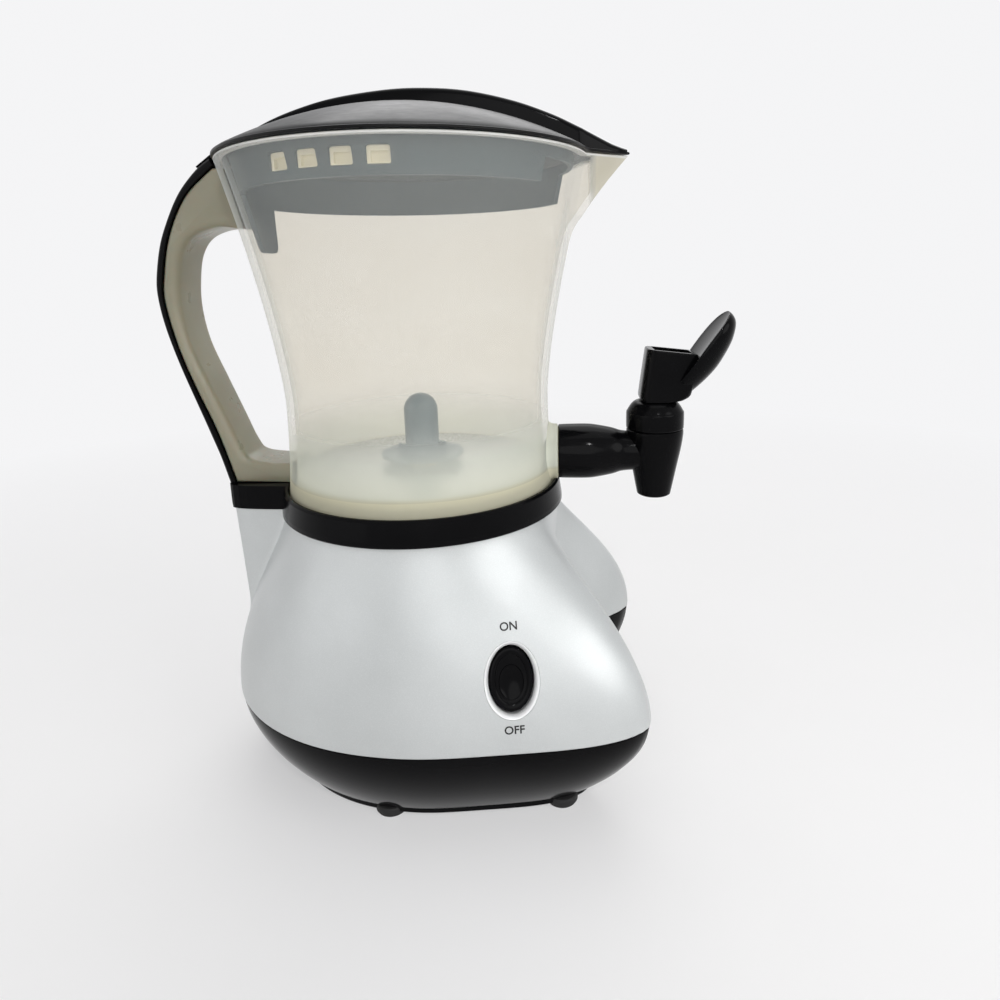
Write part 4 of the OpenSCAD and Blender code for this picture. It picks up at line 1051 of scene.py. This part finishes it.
def make_barrel():
    """Upright barrel of the tap, with its bore and the inlet from the shank."""
    r = BARREL_R
    side = curve([
        (r - 6.3, 0), (r - 5.4, 0.6), (r - 4.95, 2.0), (r - 2.85, 12.7), (r - 0.9, 22.5), (r - 0.15, 28.2),
        (r - 0.2, 30.3)
    ], 6)
    inner = [
        (r - 0.5, 30.6), (r - 2.2, 30.6), (r - 2.2, 35.2), (TAP_BORE_R, 35.2), (TAP_BORE_R, 8.5), (7.6, 7.5),
        (5, 4.5), (5, 0)
    ]
    rows = moved(turned_rows(side + inner), TAP_REACH, BARREL_Z)
    obj = add_piece("barrel", skin(rows, looped=True), "base", "black_gloss", ["tap_body"])
    hole = oval(TAP_INLET_R, TAP_INLET_R)
    inlet = [[(TAP_REACH - x, y, TAP_Z + z) for y, z in hole] for x in (2 * r, 0)]
    cut(obj, skin(inlet, capped=True))


def make_shank():
    """Shank of the tap, from its spigot in the jug's boss to the barrel."""
    r = BARREL_R
    start = jug_r(TAP_Z) + 3.7
    length = TAP_REACH - start - 5
    side = curve([
        (r - 0.55, 0.5), (r - 0.4, 5), (r - 0.4, 13), (r - 1, 18), (r - 2.2, 24), (r - 3.6, 29),
        (r - 4.1, length)
    ], 6)
    spigot = [(TAP_INLET_R, -6), (SPIGOT_R, -6), (SPIGOT_R, 0), (r - 0.9, 0)]
    profile = spigot + side + [(TAP_INLET_R, length)]
    rows = [[(start + x, y, TAP_Z + z) for y, z in oval(radius, radius)] for radius, x in profile]
    obj = add_piece("shank", skin(rows, looped=True), "base", "black_gloss")
    wide = TAP_BORE_R + 0.2
    bore = moved(turned_rows([(wide, 0), (wide, 36)]), TAP_REACH, BARREL_Z)
    cut(obj, skin(bore, capped=True))


def make_bonnet():
    """Bonnet of the tap, with a rounded shoulder and the hole for the stem."""
    r = BARREL_R
    h = BONNET_H
    hole = STEM_D / 2 + 0.25
    side = curve([
        (r - 0.05, 0.5), (r, 3), (r - 0.05, h - 5.4), (r - 0.45, h - 4.4), (r - 1.5, h - 2.6),
        (r - 2.8, h - 1), (r - 4.2, h - 0.2), (r - 6, h)
    ], 5)
    inner = [(hole, h), (hole, 7.2), (TAP_BORE_R, 7.2), (TAP_BORE_R, 4.9), (r - 2.1, 4.9), (r - 2.1, 0)]
    rows = moved(turned_rows([(r - 0.4, 0)] + side + inner), TAP_REACH, BONNET_Z)
    add_piece("bonnet", skin(rows, looped=True), "base", "black_gloss", ["tap_bonnet"])


def turned_point(x, z, f):
    return Vector((x * cosd(f) - z * sind(f), x * sind(f) + z * cosd(f)))


def yoke_section(left, right, tail):
    """Section of the yoke between two points, with corners of radius tail at its right end."""
    half = YOKE_W / 2
    nose = 4.0
    wide = (right - left).length
    turns = range(0, 91, 15)
    near = [(nose - nose * sind(t), -half + nose - nose * cosd(t)) for t in reversed(turns)]
    near += [(wide - tail + tail * sind(t), -half + tail - tail * cosd(t)) for t in turns]
    line = near + [(x, -y) for x, y in reversed(near)]
    along = (right - left) / wide
    return [(left.x + along.x * x, y, left.y + along.y * x) for x, y in line]


def make_yoke():
    """Block of the lever over the tap, with a slot for the stem and a hollow top."""
    ends = [(-6.5, -CAM_H, 9.5, -CAM_H, 4.5), (-6.8, -6.3, 11.9, -6.3, 4.5), (-7.1, -5.2, 14.0, -5.1, 4.5),
            (-7.1, -4.4, 14.7, -4.0, 4.0), (-6.7, -1.0, 15.2, -0.6, 2.0), (-6.1, 3.6, 15.9, 4.0, 0.8),
            (-4.5, 15.6, 16.7, 13.2, 0.6), (-4.3, 16.0, 16.5, 13.7, 0.6), (-3.9, 16.2, 16.0, 13.9, 0.6)]
    rows = [yoke_section(Vector((a, b)), Vector((c, d)), tail) for a, b, c, d, tail in ends]
    shape = skin(moved(rows, TAP_REACH, PIVOT_Z), capped=True)
    obj = add_piece("yoke", shape, "lever", "black_gloss", ["tap_lever"])
    half = STEM_D / 2 + 0.5
    over = STEM_OVER + 0.5
    slot = [Vector((-half, -16))]
    slot += [turned_point(half, -16, LEVER_TURN * i / 7) for i in range(8)]
    slot += [Vector((half, over)), turned_point(half, over, LEVER_TURN)]
    slot += [Vector((-half, over)), turned_point(-half, over, LEVER_TURN)]
    pocket = [Vector(p) for p in ((-1.8, 9.0), (14.6, 7.5), (15.0, 20.0), (-1.2, 20.0))]
    for line, width in ((slot, STEM_D / 2 + MOVE_GAP), (pocket, YOKE_W / 2 - 1.6)):
        sides = [[(p.x, y, p.y) for p in line] for y in (-width, width)]
        cut(obj, skin(moved(sides, TAP_REACH, PIVOT_Z), capped=True))


def make_spoon():
    """Spoon of the lever: a slightly hollow oval face with a round back."""
    tilt = 55.7
    along = Vector((cosd(tilt), sind(tilt)))
    across = Vector((sind(tilt), -cosd(tilt)))
    middle = Vector((17.8, 15))
    length = 20.6
    depths = curve([
        (-18.4, 7.6), (-15.7, 8.6), (-8.1, 10.2), (-1.2, 10.9), (5.2, 10.4), (10.9, 9.2), (15.8, 7.0),
        (18.7, 4.9), (20.1, 2.6), (20.55, 0.9)
    ], 5)
    rows = []
    for far, deep in depths:
        full = 4 if far > 0 else 2
        bend = 1.3 * max(far / length, 0) ** 2
        half = max(SPOON_W / 2 * math.sqrt(max(1 - abs(far / length) ** full, 0)), 0.5)
        soft = min(0.6, 0.3 * half, 0.3 * deep)
        hollow = 0.7 * half * 2 / SPOON_W
        section = [(half * k, hollow * (1 - k * k)) for k in (-0.9, -0.6, -0.3, 0, 0.3, 0.6, 0.9)]
        section += [(half - soft, 0), (half - 0.3 * soft, 0.3 * soft), (half, soft)]
        section += [(half * cosd(t), soft + (deep - soft) * sind(t)) for t in range(12, 169, 12)]
        section += [(-half, soft), (-half + 0.3 * soft, 0.3 * soft), (-half + soft, 0)]
        spots = [(middle + along * far + across * (d + bend), y) for y, d in section]
        rows.append([(p.x, y, p.y) for p, y in spots])
    add_piece("spoon", skin(moved(rows, TAP_REACH, PIVOT_Z), capped=True), "lever", "black_gloss", (), 40)


def make_label(name, word, v, height):
    """Word printed on the housing, as flat letters that follow its skin."""
    font = bpy.data.curves.new(name, "FONT")
    font.body = word
    font.align_x = "CENTER"
    font.align_y = "CENTER"
    font.size = height * 1.4
    font.offset = 0.09
    font.resolution_u = 4
    source = bpy.data.objects.new(name, font)
    bpy.context.scene.collection.objects.link(source)
    bpy.context.view_layer.update()
    flat = bpy.data.meshes.new_from_object(source.evaluated_get(bpy.context.evaluated_depsgraph_get()))
    points = [on_skin(p.co.x, v + p.co.y, 0.06) for p in flat.vertices]
    faces = [tuple(face.vertices) for face in flat.polygons]
    bpy.data.objects.remove(source)
    bpy.data.curves.remove(font)
    bpy.data.meshes.remove(flat)
    add_piece(name, (points, faces), "base", "black_matte", finish="ink")


# Stage, light and camera
WORLD_LIGHT = (0.27, 0.27, 0.275, 1)
WORLD_SEEN = (0.92, 0.92, 0.93, 1)
FLOOR_SEEN = (0.91, 0.91, 0.92, 1)


def make_stage():
    """Plain pale floor that curves up into a backdrop."""
    back = 0.9
    bend = 0.6
    profile = [(-3.0, 0.0), (back, 0.0)]
    profile += [(back + bend * sind(t), bend - bend * cosd(t)) for t in range(5, 91, 5)]
    profile += [(back + bend, 3.0)]
    points = [(x, y, z) for y, z in profile for x in (-4, 4)]
    faces = [(2 * i, 2 * i + 1, 2 * i + 3, 2 * i + 2) for i in range(len(profile) - 1)]
    mesh = bpy.data.meshes.new("floor")
    mesh.from_pydata(points, [], faces)
    finish_shading(mesh, 60)
    floor = bpy.data.objects.new("floor", mesh)
    bpy.context.scene.collection.objects.link(floor)
    paint = Paint("floor")
    paint.colour(paint.tones(paint.noise(6, 4), (0.3, (0.9, 0.89, 0.88)), (0.7, (0.92, 0.91, 0.905))))
    paint.rough(paint.span(paint.noise(40, 4), 0.5, 0.65))
    brighten_backdrop(paint)
    mesh.materials.append(paint.material)


def seen_rays(tree):
    """One for rays that show a surface, straight or in a reflection, and zero for rays that light others."""
    path = tree.nodes.new("ShaderNodeLightPath")
    total = path.outputs["Is Camera Ray"]
    for kind in ("Is Glossy Ray", "Is Transmission Ray"):
        node = tree.nodes.new("ShaderNodeMath")
        node.operation = "MAXIMUM"
        tree.links.new(total, node.inputs[0])
        tree.links.new(path.outputs[kind], node.inputs[1])
        total = node.outputs[0]
    return total


def brighten_backdrop(paint):
    """Turns the floor into an even pale field behind the object."""
    tree = paint.tree
    away = tree.nodes.new("ShaderNodeVectorMath")
    away.operation = "LENGTH"
    tree.links.new(paint.spot, away.inputs[0])
    far = paint.span(away.outputs["Value"], 0.45, 1.0, 0.15, 0.85)
    both = tree.nodes.new("ShaderNodeMath")
    both.operation = "MULTIPLY"
    tree.links.new(far, both.inputs[0])
    tree.links.new(seen_rays(tree), both.inputs[1])
    glow = tree.nodes.new("ShaderNodeEmission")
    glow.inputs["Color"].default_value = FLOOR_SEEN
    glow.inputs["Strength"].default_value = 1.0
    field = blend(tree, both.outputs[0], paint.shader.outputs["BSDF"], glow.outputs["Emission"])
    tree.links.new(field, tree.nodes["Material Output"].inputs["Surface"])


def add_lamp(name, spot, aim, size, power):
    """Round lamp that shines from its spot to its aim."""
    data = bpy.data.lights.new(name, "AREA")
    data.shape = "DISK"
    data.size = size
    data.energy = power
    lamp = bpy.data.objects.new(name, data)
    lamp.location = spot
    lamp.rotation_euler = (Vector(aim) - Vector(spot)).to_track_quat("-Z", "Y").to_euler()
    bpy.context.scene.collection.objects.link(lamp)


def make_light():
    """Large soft lamps above and beside the camera, and a world that is pale where it is seen."""
    add_lamp("key", (0.9, -0.62, 0.55), (0, 0, 0.13), 0.8, 4.5)
    add_lamp("side", (-1.0, -0.7, 0.35), (0, 0, 0.13), 1.2, 2.1)
    add_lamp("front", (0.2, -1.3, 0.55), (0, 0, 0.13), 0.9, 3.2)
    add_lamp("top", (0.1, 0.1, 1.5), (0, 0, 0.1), 1.4, 4.0)
    add_lamp("back", (0.05, 0.85, 1.25), (0, 0, 0.2), 1.3, 6.0)
    add_lamp("spark", (0.25, -0.9, 0.95), (0, 0, 0.15), 0.09, 2.4)
    world = bpy.data.worlds.new("studio")
    world.use_nodes = True
    tree = world.node_tree
    back = tree.nodes["Background"]
    back.inputs["Strength"].default_value = 1.0
    mix = tree.nodes.new("ShaderNodeMix")
    mix.data_type = "RGBA"
    mix.inputs[6].default_value = WORLD_LIGHT
    mix.inputs[7].default_value = WORLD_SEEN
    tree.links.new(seen_rays(tree), mix.inputs[0])
    tree.links.new(mix.outputs[2], back.inputs["Color"])
    bpy.context.scene.world = world


# Camera solved from the photograph: place in millimetres from the jug's axis, turns in radians,
# image in pixels
CAMERA_AT = (64.602, -308.904, 226.060)
CAMERA_YAW = -0.06851
CAMERA_DOWN = 0.21575
CAMERA_ROLL = -0.02465
IMAGE = 1000.0
FOCAL = 701.75
CENTRE = (516.5, 421.6)


def make_camera():
    """Camera that sees the object as the photograph does."""
    level_share = math.cos(CAMERA_DOWN)
    ahead = Vector((
        math.sin(CAMERA_YAW) * level_share,
        math.cos(CAMERA_YAW) * level_share,
        -math.sin(CAMERA_DOWN)
    ))
    level = Vector((math.cos(CAMERA_YAW), -math.sin(CAMERA_YAW), 0))
    above = level.cross(ahead)
    right = math.cos(CAMERA_ROLL) * level + math.sin(CAMERA_ROLL) * above
    up = math.cos(CAMERA_ROLL) * above - math.sin(CAMERA_ROLL) * level
    data = bpy.data.cameras.new("camera")
    data.sensor_width = 36.0
    data.lens = FOCAL * data.sensor_width / IMAGE
    data.shift_x = (IMAGE / 2 - CENTRE[0]) / IMAGE
    data.shift_y = (CENTRE[1] - IMAGE / 2) / IMAGE
    data.clip_start = 0.01
    camera = bpy.data.objects.new("camera", data)
    turn = Matrix((right, up, -ahead)).transposed().to_4x4()
    camera.matrix_world = Matrix.Translation(place(*CAMERA_AT)) @ turn
    bpy.context.scene.collection.objects.link(camera)
    bpy.context.scene.camera = camera


make_camera()
make_stage()
make_light()
bpy.context.scene.view_settings.view_transform = "Standard"
dress_nodes()
make_housing()
make_tray()
make_feet()
make_jug()
make_boss()
make_handle()
make_handle_cover()
make_lid()
make_tab()
make_spine()
make_skirt()
make_bezel()
make_rocker()
make_barrel()
make_shank()
make_bonnet()
make_yoke()
make_spoon()
make_label("label_on", "ON", 20.2, 3.2)
make_label("label_off", "OFF", -18.7, 3.2)

bpy.context.view_layer.update()
